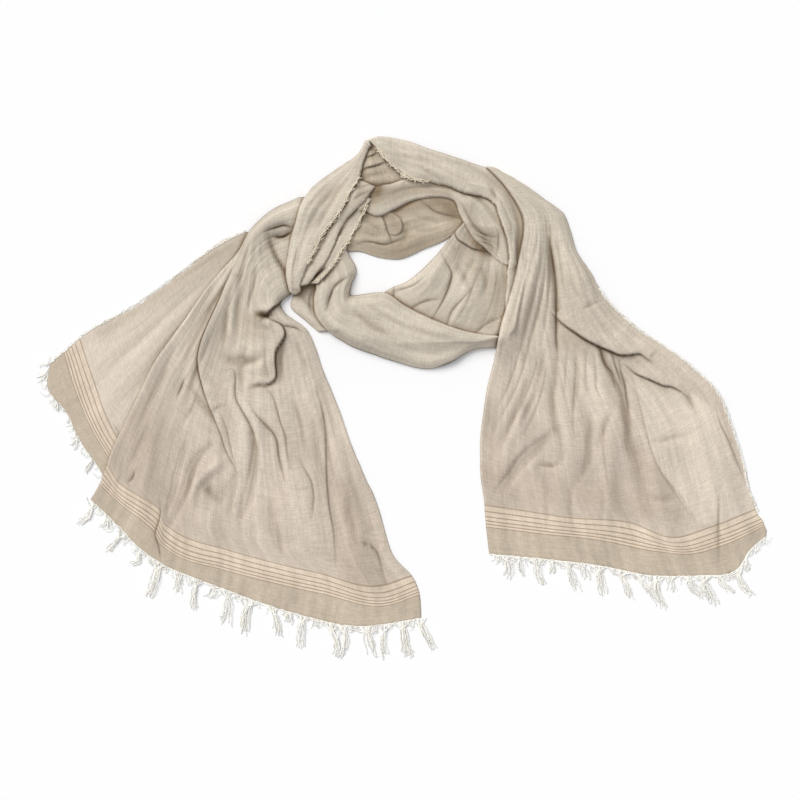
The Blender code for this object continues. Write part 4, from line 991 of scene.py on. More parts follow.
@dataclass(frozen=True)
class WovenStripes:
    """Five cream stripes woven in near the hem, parted by thin darker lines.

    Widths are millimetres, from the hem's side to the neck's. Each line is a few
    picks of the cloth's own yarn, beaten closer together.
    """

    start: float = 30.0
    lights: tuple[float, ...] = (2.2, 2.6, 3.6, 4.8, 6.0)
    line: float = 1.2
    blur: float = 0.35

    def marks(self) -> list[tuple[float, tuple]]:
        """Lists the ramp's stops.

        Returns:
            Distance from the hem and the shares of cream, dark line and hem cloth.
        """
        plain, hem, cream, dark = (0, 0, 0, 1), (0, 0, 1, 1), (1, 0, 0, 1), (0, 1, 0, 1)
        place = self.start - self.line
        stops = [(0.0, hem), (place - self.blur, hem)]
        for light in self.lights:
            stops += [(place, dark), (place + self.line - self.blur, dark)]
            place += self.line
            stops += [(place, cream), (place + light - self.blur, cream)]
            place += light
        stops += [(place, dark), (place + 0.3 * self.line, dark), (place + 1.6 * self.line, plain)]
        return stops

    def ramp(self, tree: bpy.types.NodeTree, from_hem: bpy.types.NodeSocket) -> bpy.types.Node:
        """Adds the ramp that holds the stripes.

        Args:
            tree: The material's node tree.
            from_hem: Distance from the hem in millimetres.

        Returns:
            A node with the shares of cream, dark line and hem cloth.
        """
        share = add_node(tree, "ShaderNodeMath", {0: from_hem, 1: STRIPES_END}, operation="DIVIDE")
        ramp = add_node(tree, "ShaderNodeValToRGB", {0: share.outputs[0]})
        elements = ramp.color_ramp.elements
        for k, (place, shares) in enumerate(self.marks()):
            stop = elements[k] if k < 2 else elements.new(place / STRIPES_END)
            stop.position = place / STRIPES_END
            stop.color = shares
        return add_node(tree, "ShaderNodeSeparateColor", {0: ramp.outputs["Color"]})


@dataclass(frozen=True)
class LinenGauze:
    """Washed linen gauze, plain weave, piece-dyed and crinkled.

    Matt, dry and a little fuzzy: thread slubs give it a fine mottled grain, the
    crinkles give long soft streaks, and one layer alone looks paler than two.
    """

    name: str
    cloth: str = "CBBDAE"
    loop: str = "C9BFAF"
    # The next colour is one layer alone, also used for painted light and paler worn edges.
    single: str = "DACEBE"
    cream: str = "DBCBB7"
    taupe: str = "A8947D"
    hem: str = "C1B3A0"
    # The next colour is painted shade in recesses, beside higher edges and in shaded patches.
    painted_shade: str = "7A6448"
    # The next colour is the shade painted along the bottom lines of folds.
    crease: str = "4A3620"
    uneven: float = 1.0
    roughness: float = 0.92
    thread_mm: float = 1.3  # real threads lie 0.7 mm apart, drawn coarse enough to show
    stripes: WovenStripes = WovenStripes()

    def patterns(self, tree: bpy.types.NodeTree, place: bpy.types.Node) -> dict:
        """Adds the gauze's random patterns, each sized across and along the cloth.

        Args:
            tree: The material's node tree.
            place: Distance across, distance from the hem, and place among the gathers.

        Returns:
            A socket of 0 to 1 for each pattern.
        """
        across, from_hem, gathers = (place.outputs[k] for k in (0, 1, 2))
        thread = self.thread_mm
        sizes = {  # width, length and detail, in millimetres of cloth
            "warp": (across, thread, 11.0, 1.0),
            "weft": (across, 8.0, thread, 1.0),
            "speckle": (across, thread, thread, 1.0),
            "gathered": (across, 4.0, 60.0, 2.0),
            "fanned": (gathers, 4.5, 75.0, 2.0),
            "picks": (across, 34.0, 2.6, 1.5),
            "bands": (gathers, 15.0, 160.0, 1.0),
            "mottle": (across, 42.0, 60.0, 2.0),
        }
        waves = {}
        for name, (aside, width, length, detail) in sizes.items():
            x = add_node(tree, "ShaderNodeMath", {0: aside, 1: width}, operation="DIVIDE")
            y = add_node(tree, "ShaderNodeMath", {0: from_hem, 1: length}, operation="DIVIDE")
            where = add_node(tree, "ShaderNodeCombineXYZ", {0: x.outputs[0], 1: y.outputs[0]})
            grain = {"Vector": where.outputs[0], "Scale": 1.0, "Detail": detail, "Roughness": 0.55}
            waves[name] = add_node(tree, "ShaderNodeTexNoise", grain).outputs["Fac"]
        return waves

    def streaks(self, tree: bpy.types.NodeTree, from_hem: bpy.types.NodeSocket, waves: dict) -> None:
        """Adds the crinkles' streaks to the patterns. They fan out, and are calm at the hem.

        Args:
            tree: The material's node tree.
            from_hem: Distance from the hem in millimetres.
            waves: The patterns, which gain one named streaks.
        """
        spread = add_node(tree, "ShaderNodeAttribute", {}, attribute_name="spread").outputs["Fac"]
        both = {0: spread, 2: waves["gathered"], 3: waves["fanned"]}
        fanned = add_node(tree, "ShaderNodeMix", both, data_type="FLOAT")
        pressed = {"Value": from_hem, "From Min": 30.0, "From Max": 110.0, "To Min": 0.75, "To Max": 0.0}
        flat = add_node(tree, "ShaderNodeMapRange", pressed)
        calm = {0: flat.outputs[0], 2: fanned.outputs[0], 3: 0.5}
        waves["streaks"] = add_node(tree, "ShaderNodeMix", calm, data_type="FLOAT").outputs[0]

    def dyed(self, tree: bpy.types.NodeTree, colour: object, coats: tuple) -> bpy.types.NodeSocket:
        """Lays coats of colour over one another.

        Args:
            tree: The material's node tree.
            colour: The first colour, or its socket.
            coats: Hex colour of each coat, and the socket of the share that it covers.

        Returns:
            The socket of the finished colour.
        """
        for tint, share in coats:
            inputs = {0: share, 6: colour, 7: linear(tint)}
            colour = add_node(tree, "ShaderNodeMix", inputs, data_type="RGBA").outputs[2]
        return colour

    def material(self) -> bpy.types.Material:
        """Builds the node material.

        Returns:
            The material, which reads the cloth's own coordinates.
        """
        made = bpy.data.materials.new(self.name)
        made.use_nodes = True
        tree = made.node_tree
        shader = tree.nodes["Principled BSDF"]
        cloth = add_node(tree, "ShaderNodeAttribute", {}, attribute_name="cloth")
        tone = add_node(tree, "ShaderNodeAttribute", {}, attribute_name="tone")
        place = add_node(tree, "ShaderNodeSeparateXYZ", {0: cloth.outputs["Vector"]})
        looks = add_node(tree, "ShaderNodeSeparateXYZ", {0: tone.outputs["Vector"]})
        # The tone holds painted crease shade, the paleness of one layer with painted light, and painted
        # shade.
        crease, paleness_and_painted_light, painted_shade = (looks.outputs[k] for k in (0, 1, 2))
        from_hem = place.outputs[1]
        waves = self.patterns(tree, place)
        self.streaks(tree, from_hem, waves)
        # The loop's own tone; the copy for the inside of the loop sets it darker, as painted shade.
        to_loop = {"Value": from_hem, "From Min": 150.0, "From Max": LOOP_FROM_HEM}
        in_loop = add_node(tree, "ShaderNodeMapRange", to_loop).outputs[0]
        woven = self.stripes.ramp(tree, from_hem)
        coats = (
            (self.loop, in_loop), (self.single, paleness_and_painted_light), (self.hem, woven.outputs["Blue"]),
            (self.cream, woven.outputs["Red"]), (self.taupe, woven.outputs["Green"]),
        )
        colour = self.dyed(tree, linear(self.cloth), coats)
        depths = {
            "warp": 0.16, "weft": 0.18, "speckle": 0.16, "picks": 0.12,
            "streaks": 0.16 * self.uneven, "bands": 0.24 * self.uneven, "mottle": 0.20 * self.uneven,
        }
        for name, depth in depths.items():
            limits = {"Value": waves[name], "To Min": 1 - depth, "To Max": 1 + depth}
            inputs = {0: colour, "Scale": add_node(tree, "ShaderNodeMapRange", limits).outputs[0]}
            colour = add_node(tree, "ShaderNodeVectorMath", inputs, operation="SCALE").outputs[0]
        # Painted shade: in recesses and shaded patches, then along crease lines.
        colour = self.dyed(tree, colour, ((self.painted_shade, painted_shade), (self.crease, crease)))
        tree.links.new(colour, shader.inputs["Base Color"])
        shader.inputs["Roughness"].default_value = self.roughness
        shader.inputs["Specular IOR Level"].default_value = 0.25
        shader.inputs["Sheen Weight"].default_value = 0.12
        shader.inputs["Sheen Roughness"].default_value = 0.5
        normal = None
        for name, strength, depth_mm in (("speckle", 0.4, 0.3), ("weft", 0.4, 0.3), ("streaks", 0.45, 1.3)):
            inputs = {"Strength": strength, "Distance": depth_mm * MM, "Height": waves[name]}
            if normal is not None:
                inputs["Normal"] = normal
            normal = add_node(tree, "ShaderNodeBump", inputs).outputs["Normal"]
        tree.links.new(normal, shader.inputs["Normal"])
        return made


@dataclass(frozen=True)
class FringeYarn:
    """Loose bleached linen yarn: matt, pale cream, and a little uneven along its length."""

    name: str = "bleached_linen_yarn"
    pale: str = "FFFEFA"
    shade: str = "F5F1E8"
    roughness: float = 0.85
    slub_mm: float = 5.0

    def material(self) -> bpy.types.Material:
        """Builds the node material.

        Returns:
            The material.
        """
        made = bpy.data.materials.new(self.name)
        made.use_nodes = True
        tree = made.node_tree
        shader = tree.nodes["Principled BSDF"]
        where = add_node(tree, "ShaderNodeTexCoord", {})
        scale = 1 / (self.slub_mm * MM)
        grain = {"Vector": where.outputs["Object"], "Scale": scale, "Detail": 2.0}
        slubs = add_node(tree, "ShaderNodeTexNoise", grain)
        limits = {"Value": slubs.outputs["Fac"], "From Min": 0.3, "From Max": 0.7}
        share = add_node(tree, "ShaderNodeMapRange", limits).outputs[0]
        tints = {0: share, 6: linear(self.shade), 7: linear(self.pale)}
        colour = add_node(tree, "ShaderNodeMix", tints, data_type="RGBA").outputs[2]
        tree.links.new(colour, shader.inputs["Base Color"])
        shader.inputs["Roughness"].default_value = self.roughness
        shader.inputs["Specular IOR Level"].default_value = 0.3
        return made


@dataclass(frozen=True)
class BackdropPaper:
    """White seamless backdrop paper: smooth, matt and evenly bright."""

    name: str = "white_backdrop_paper"
    colour: str = "F7F7F8"
    roughness: float = 0.95

    def material(self) -> bpy.types.Material:
        """Builds the node material.

        Returns:
            The material.
        """
        made = bpy.data.materials.new(self.name)
        made.use_nodes = True
        tree = made.node_tree
        shader = tree.nodes["Principled BSDF"]
        grain = add_node(tree, "ShaderNodeTexNoise", {"Scale": 900.0, "Detail": 2.0})
        relief = {"Strength": 0.05, "Distance": 0.2 * MM, "Height": grain.outputs["Fac"]}
        bump = add_node(tree, "ShaderNodeBump", relief)
        tree.links.new(bump.outputs["Normal"], shader.inputs["Normal"])
        shader.inputs["Base Color"].default_value = linear(self.colour)
        shader.inputs["Roughness"].default_value = self.roughness
        shader.inputs["Specular IOR Level"].default_value = 0.1
        return made


def mesh_object(
    name: str, points: np.ndarray, faces: list, material: bpy.types.Material
) -> bpy.types.Object:
    """Makes a smooth mesh object from plan points.

    Args:
        name: The piece's name.
        points: Plan points with heights, in millimetres.
        faces: Corner numbers of each face.
        material: The piece's finish.

    Returns:
        The object, linked to the scene.
    """
    mesh = bpy.data.meshes.new(name)
    mesh.from_pydata(((points - (*PLAN_MIDDLE, 0.0)) * MM).tolist(), [], faces)
    mesh.shade_smooth()
    mesh.materials.append(material)
    made = bpy.data.objects.new(name, mesh)
    bpy.context.scene.collection.objects.link(made)
    return made


def grid_faces(above: np.ndarray, turned: bool) -> list:
    """Makes the four-sided faces of a grid.

    Args:
        above: Corner numbers of the grid.
        turned: Whether the faces are turned over.

    Returns:
        The corner numbers of each face.
    """
    a, b, c, d = above[:-1, :-1], above[:-1, 1:], above[1:, 1:], above[1:, :-1]
    order = (a, d, c, b) if turned else (a, b, c, d)
    return np.stack(order, axis=-1).reshape(-1, 4).tolist()


@dataclass(repr=False)
class ClothStretch:
    """One stretch of the panel: a thin sheet, or a heap of folded layers with one top.

    Held, cell, shoulder and lip say how it lies, how fine its grid is, how far in it
    reaches its full height, and how thick its rim is. Bridge and reach say how stiffly
    it lies over the steps below it. Relief makes its folds deeper and lines darkens the
    shade painted along them, crinkle scales its washed-in waves, and worn how uneven its
    right and left edges are.
    """

    node: str
    slot: Slot
    held: str
    cell: tuple[float, float]
    shoulder: float
    lip: float
    sections: tuple[Section, ...]
    folds: tuple[Fold, ...]
    seed: int
    bridge: float = 3.5
    reach: int = 1
    relief: float = 1.35
    lines: float = 1.3
    crinkle: float = 0.5
    worn: tuple[float, float] = (0.2, 0.2)
    patches: tuple[Patch, ...] = ()
    plan: np.ndarray = field(init=False)
    stations: np.ndarray = field(init=False)
    rise: np.ndarray = field(init=False)
    fill: np.ndarray = field(init=False)
    from_hem: np.ndarray = field(init=False)
    from_left: np.ndarray = field(init=False)
    width: np.ndarray = field(init=False)
    streak: np.ndarray = field(init=False)
    top: np.ndarray = field(init=False)
    under: np.ndarray = field(init=False)
    # The next four hold the shade painted along fold lines, the paleness of one layer with painted light
    # and worn edges, painted shade from patches, and painted shade in recesses.
    dark: np.ndarray = field(init=False)
    layers: np.ndarray = field(init=False)
    shadow: np.ndarray = field(init=False)
    painted_shade: np.ndarray = field(init=False)

    def lay_out(self) -> None:
        """Makes the plan grid, with each row's rise, fill and distance from the hem."""
        rows = [plan_points(section.across) for section in self.sections]
        widths = [lengths_along(row)[-1] for row in rows]
        count = odd(max(widths) / self.cell[0])
        sampled = []
        for row, width in zip(rows, widths):
            sampled.append(spline(lengths_along(row), row, spaced(width, count)))
        sampled = np.array(sampled)
        steps = np.linalg.norm(np.diff(sampled, axis=0), axis=2).mean(axis=1)
        knots = np.concatenate([[0.0], np.cumsum(steps)])
        self.stations = spaced(knots[-1], odd(knots[-1] / self.cell[1]))
        self.plan = spline(knots, sampled, self.stations)
        self.rise = spline(knots, [section.rise for section in self.sections], self.stations)
        self.fill = np.interp(self.stations, knots, [section.fill for section in self.sections])
        self.from_hem = self.hem_distances(knots)

    def hem_distances(self, knots: np.ndarray) -> np.ndarray:
        """Works out how far each row of the grid is from the hem.

        Args:
            knots: Distance of each section from the first.

        Returns:
            Distance from the hem in millimetres, or past the stripes in the loop.
        """
        stated = [section.from_hem for section in self.sections]
        if stated[-1] < 0:
            return LOOP_FROM_HEM + self.stations
        marks = []
        for section, knot in zip(self.sections, knots):
            first = next(k for k, value in enumerate(stated) if value >= 0)
            past = stated[first] + knots[first] - knot
            marks.append(section.from_hem if section.from_hem >= 0 else past)
        return np.interp(self.stations, knots, marks)

    def edge_distance(self) -> np.ndarray:
        """Measures across the cloth.

        Returns:
            Each grid point's distance from the nearest of the two long edges.
        """
        steps = np.linalg.norm(np.diff(self.plan, axis=1), axis=2)
        start = np.zeros((len(self.plan), 1))
        self.from_left = np.concatenate([start, np.cumsum(steps, axis=1)], axis=1)
        self.width = self.from_left[:, -1:]
        return np.minimum(self.from_left, self.width - self.from_left)

    def folded(self) -> tuple[np.ndarray, np.ndarray, np.ndarray]:
        """Adds up the folds over the grid.

        Returns:
            Height, shade painted along the crease lines, and sideways shift of lapped edges.
        """
        height = np.zeros(self.plan.shape[:2])
        dark = np.zeros(self.plan.shape[:2])
        shift = np.zeros(self.plan.shape)
        for fold in self.folds:
            marks = plan_points(fold.points)
            path = smooth_path(marks, 12 + 4 * len(marks))
            reach = 2.6 * max(fold.width, 4.0)
            low, high = path.min(axis=0) - reach, path.max(axis=0) + reach
            inside = ((self.plan > low) & (self.plan < high)).all(axis=-1)
            if not inside.any():
                continue
            points = self.plan[inside]
            start, step = path[:-1], np.diff(path, axis=0)
            away = points[:, None] - start
            t = np.clip((away * step).sum(-1) / (step**2).sum(-1), 0, 1)
            offset = away - t[..., None] * step
            distances = np.linalg.norm(offset, axis=-1)
            nearest = distances.argmin(axis=1)
            picked = (np.arange(len(points)), nearest)
            distance = distances[picked]
            normal = np.stack([-step[:, 1], step[:, 0]], axis=-1)
            normal /= np.linalg.norm(normal, axis=1, keepdims=True)
            signed = (offset[picked] * normal[nearest]).sum(-1)
            share = (nearest + t[picked]) / len(step)
            fade = np.sin(np.pi * np.clip(share, 0.05, 0.95)) ** 0.6
            past_end = ((share <= 0) | (share >= 1)) & (distance > np.abs(signed) + 0.01)
            profile, line = fold.shape(distance, signed)
            if fold.form is Form.LAP:
                pull = LAP_OVERHANG * fade * np.exp(-((distance / 3.0) ** 2)) * (signed > -0.3)
                shift[inside] -= pull[:, None] * normal[nearest] * (~past_end)[:, None]
                profile = np.where(past_end, profile * np.exp(-((distance / 4) ** 2)), profile)
            height[inside] += self.relief * fold.height * fade * profile
            # Painted shade: a line along the fold's bottom, and a wide band beside a trough.
            wide = 0.25 * np.exp(-((distance / fold.width) ** 2)) if fold.height < 0 else 0.0
            painted = self.lines * fold.shade * fade * np.maximum(line, wide)
            dark[inside] = np.maximum(dark[inside], painted.clip(0, MOST_SHADE))
        return height, dark, shift

    def crinkles(self, rng: np.random.Generator) -> np.ndarray:
        """Makes the long crinkles of washed gauze, which run together at the neck.

        Args:
            rng: Seeded source.

        Returns:
            Height of the crinkles in millimetres.
        """
        along = np.broadcast_to(self.stations[:, None], self.plan.shape[:2])
        squeeze = np.clip(self.width / self.width.max(), 0.1, 1) ** 0.25
        wander = 5 * noise(rng, self.streak, along, (70, 90))
        streak = self.streak + wander
        made = sum(height * noise(rng, streak, along, cell) for height, cell in CRINKLES)
        return self.crinkle * squeeze * made

    def drape(self, pile: HeightMap) -> None:
        """Lays the stretch on the pile and works out its top, underside and tones.

        Args:
            pile: What lies below, which this stretch is then added to.
        """
        rng = np.random.default_rng(self.seed)
        edge = self.edge_distance()
        self.streak = self.from_left / self.width * max(self.width.max(), 30)
        height, dark, shift = self.folded()
        ramp = np.sin(np.pi / 2 * np.clip(edge / np.minimum(self.shoulder, self.width / 2), 0, 1))
        floor, settled = pile.settled(self.plan, self.bridge, self.reach)
        lip = np.clip(self.rise, WALL, self.lip)[:, None]
        to_end = np.minimum(self.stations, self.stations[-1] - self.stations)[:, None]
        nearest = np.minimum(edge, to_end)
        rounding = np.sqrt(1 - (1 - np.clip(nearest / EDGE_ROUND, 0, 1)) ** 2)
        rise = lip + (self.rise[:, None] - lip).clip(0) * ramp
        waves = (height + self.crinkles(rng)) * (0.3 + 0.7 * ramp)
        full = np.maximum(rise + waves, WALL)
        top = settled + REST_GAP + full * (0.45 + 0.55 * rounding)
        self.top = np.maximum(top, floor + REST_GAP + THINNEST * WALL)
        filled = np.maximum(self.fill[:, None], 1 - 2 * ramp)
        thin = (self.top - WALL - floor - REST_GAP).clip(0)
        self.under = floor + REST_GAP + (1 - filled) * (thin - 0.3).clip(0)
        self.plan = self.plan + shift * np.clip(edge / 3, 0, 1)[..., None]
        self.plan = self.plan + self.worn_edges(rng, edge)
        self.dark = dark
        # Patches over 0 paint light, and the paleness of a single layer where one lies; under 0 they paint
        # shade. Worn edges are paler.
        tones = self.patch_tones()
        rim = RIM_TONE * np.exp(-((nearest / RIM_WIDTH) ** 2))
        self.layers, self.shadow = np.maximum(tones, rim).clip(0, 1), (-tones).clip(0, 1)
        pile.lay(self.plan, self.top)

    def worn_edges(self, rng: np.random.Generator, edge: np.ndarray) -> np.ndarray:
        """Makes the long edges of the cloth a little uneven.

        Args:
            rng: Seeded source.
            edge: Distance from the nearest long edge.

        Returns:
            Plan shift of each grid point.
        """
        across = np.diff(self.plan[:, [0, -1]], axis=1)[:, 0]
        across /= np.linalg.norm(across, axis=1, keepdims=True)
        along = np.broadcast_to(self.stations[:, None], edge.shape)
        first = self.from_left < self.width / 2
        sides = np.where(first, 0.0, 50.0)
        push = 0.9 * noise(rng, sides, along, (40, 9)) + 0.5 * noise(rng, sides, along, (40, 3.5))
        push *= np.where(first, *self.worn) * np.exp(-((edge / 5) ** 2))
        return push[..., None] * across[:, None]

    def patch_tones(self) -> np.ndarray:
        """Adds up the patches over the grid.

        Returns:
            How much paler each point is, from one layer or from painted light, or under 0 how much painted
            shade it has.
        """
        tones = np.zeros(self.plan.shape[:2])
        for patch in self.patches:
            outline = plan_points(patch.outline)
            after = np.roll(outline, -1, axis=0)
            inside = np.zeros(self.plan.shape[:2], bool)
            distance = np.full(self.plan.shape[:2], np.inf)
            x, y = self.plan[..., 0], self.plan[..., 1]
            for (ax, ay), (bx, by) in zip(outline, after):
                crosses = (ay > y) != (by > y)
                at = ax + (y - ay) / (by - ay if by != ay else 1e-9) * (bx - ax)
                inside ^= crosses & (x < at)
                side = np.array([bx - ax, by - ay])
                t = np.clip(((x - ax) * side[0] + (y - ay) * side[1]) / (side @ side), 0, 1)
                distance = np.minimum(distance, np.hypot(x - ax - t * side[0], y - ay - t * side[1]))
            signed = np.where(inside, distance, -distance)
            tones += patch.amount / (1 + np.exp(-signed / patch.soft * 2))
        return tones

    def build(self, material: bpy.types.Material) -> bpy.types.Object:
        """Makes the closed mesh: top, underside and the layered rim between them.

        Args:
            material: The stretch's finish.

        Returns:
            The object.
        """
        rows, columns = self.top.shape
        above = np.arange(rows * columns).reshape(rows, columns)
        upper = np.dstack([self.plan, self.top]).reshape(-1, 3)
        sparse = above[::2, ::2]
        lower = np.column_stack([upper[sparse.ravel(), :2], self.under[::2, ::2].ravel()])
        loop = np.concatenate([above[:, 0], above[-1, 1:], above[-2::-1, -1], above[0, -2:0:-1]])
        ring = upper[loop, :2]
        ahead = np.roll(ring, -1, axis=0) - np.roll(ring, 1, axis=0)
        outward = np.stack([ahead[:, 1], -ahead[:, 0]], axis=1)
        outward /= np.maximum(np.linalg.norm(outward, axis=1, keepdims=True), 1e-6)
        area = (ring[:, 0] * np.roll(ring[:, 1], -1) - ring[:, 1] * np.roll(ring[:, 0], -1)).sum()
        upright = area > 0
        outward *= 1 if upright else -1
        thick = upper[loop, 2] - self.under.ravel()[loop]
        lips = int(np.clip(round(np.median(thick) / 2.0), 1, 4))
        levels = 4 * lips
        rings = []
        for level in range(1, levels):
            u = level / levels
            at = ring + outward * LIP_BULGE * abs(math.sin(math.pi * lips * u))
            rings.append(np.column_stack([at, upper[loop, 2] - u * thick]))
        count, size = len(upper), len(loop)
        points = np.concatenate([upper, *rings, lower])
        numbers = [loop] + [count + np.arange(size) + k * size for k in range(levels - 1)]
        wall = np.array([np.append(row, row[0]) for row in numbers])
        below = count + (levels - 1) * size + np.arange(sparse.size).reshape(sparse.shape)
        seam = np.concatenate([below[:, 0], below[-1, 1:], below[-2::-1, -1], below[0, -2:0:-1]])
        faces = grid_faces(above, upright) + grid_faces(below, not upright)
        faces += grid_faces(wall, not upright)
        faces += self.seam_faces(wall[-1], np.append(seam, seam[0]), upright)
        made = mesh_object("cloth_" + self.node, points, faces, material)
        source = np.concatenate([np.arange(count), np.tile(loop, levels - 1), sparse.ravel()])
        self.write_tones(made, source)
        return made

    def seam_faces(self, fine: np.ndarray, coarse: np.ndarray, upright: bool) -> list:
        """Joins the rim's last row to the underside, which has half as many corners.

        Args:
            fine: Corner numbers along the rim.
            coarse: Corner numbers along the edge of the underside.
            upright: Whether the rim runs counter-clockwise.

        Returns:
            Five-sided faces.
        """
        a, b, c = fine[:-2:2], fine[1:-1:2], fine[2::2]
        d, e = coarse[1:], coarse[:-1]
        order = (a, e, d, c, b) if not upright else (a, b, c, d, e)
        return np.stack(order[::-1], axis=-1).tolist()

    def write_tones(self, made: bpy.types.Object, source: np.ndarray) -> None:
        """Stores the cloth's coordinates and tones, with their painted light and shade, on the mesh.

        Args:
            made: The stretch's object.
            source: The grid point that each mesh point takes its values from.
        """
        from_hem = np.broadcast_to(self.from_hem[:, None], self.top.shape)
        offset = self.seed * 37.0
        across = self.from_left - self.width / 2 + offset
        cloth = np.stack([across, from_hem, self.streak + offset], axis=-1).reshape(-1, 3)
        # Painted shade from patches and recesses; the tone holds crease shade, paleness with painted light,
        # and that shade.
        shadow = np.maximum(self.shadow, self.painted_shade).clip(0, MOST_SHADE)
        tone = np.stack([self.dark, self.layers, shadow], axis=-1).reshape(-1, 3)
        full = np.broadcast_to((self.width / self.width.max() - 0.15).clip(0, 0.5) * 2, self.top.shape)
        spread = np.stack([full, full, full], axis=-1).reshape(-1, 3)
        for name, values in (("cloth", cloth), ("tone", tone), ("spread", spread)):
            stored = made.data.attributes.new(name, "FLOAT_VECTOR", "POINT")
            stored.data.foreach_set("vector", values[source].astype(np.float32).ravel())

    def dress(self, made: bpy.types.Object, rests_on: list, with_pieces: list) -> None:
        """Attaches the piece to the root and hides the imported part that it stands for.

        Args:
            made: The stretch's object.
            rests_on: Not used.
            with_pieces: Not used.
        """
        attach(made, "root")
        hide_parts(self.node)


def threads(paths: list, radii: list) -> tuple[np.ndarray, list]:
    """Makes closed threads along paths.

    Args:
        paths: Plan points with heights along each thread.
        radii: Radius at each of those points.

    Returns:
        Points and faces of all the threads.
    """
    points, faces, first = [], [], 0
    turns = np.arange(THREAD_SIDES) * math.tau / THREAD_SIDES
    for path, radius in zip(paths, radii):
        ahead = np.gradient(path, axis=0)
        ahead /= np.maximum(np.linalg.norm(ahead, axis=1, keepdims=True), 1e-9)
        side = np.cross(ahead, (0, 0, 1.0))
        side /= np.maximum(np.linalg.norm(side, axis=1, keepdims=True), 1e-9)
        up = np.cross(side, ahead)
        ring = np.cos(turns)[None, :, None] * side[:, None] + np.sin(turns)[None, :, None] * up[:, None]
        points.append((path[:, None] + ring * radius[:, None, None]).reshape(-1, 3))
        index = first + np.arange(len(path) * THREAD_SIDES).reshape(len(path), THREAD_SIDES)
        faces += grid_faces(np.concatenate([index, index[:, :1]], axis=1), True)
        faces += [index[0].tolist(), index[-1, ::-1].tolist()]
        first += len(path) * THREAD_SIDES
    return np.concatenate(points), faces


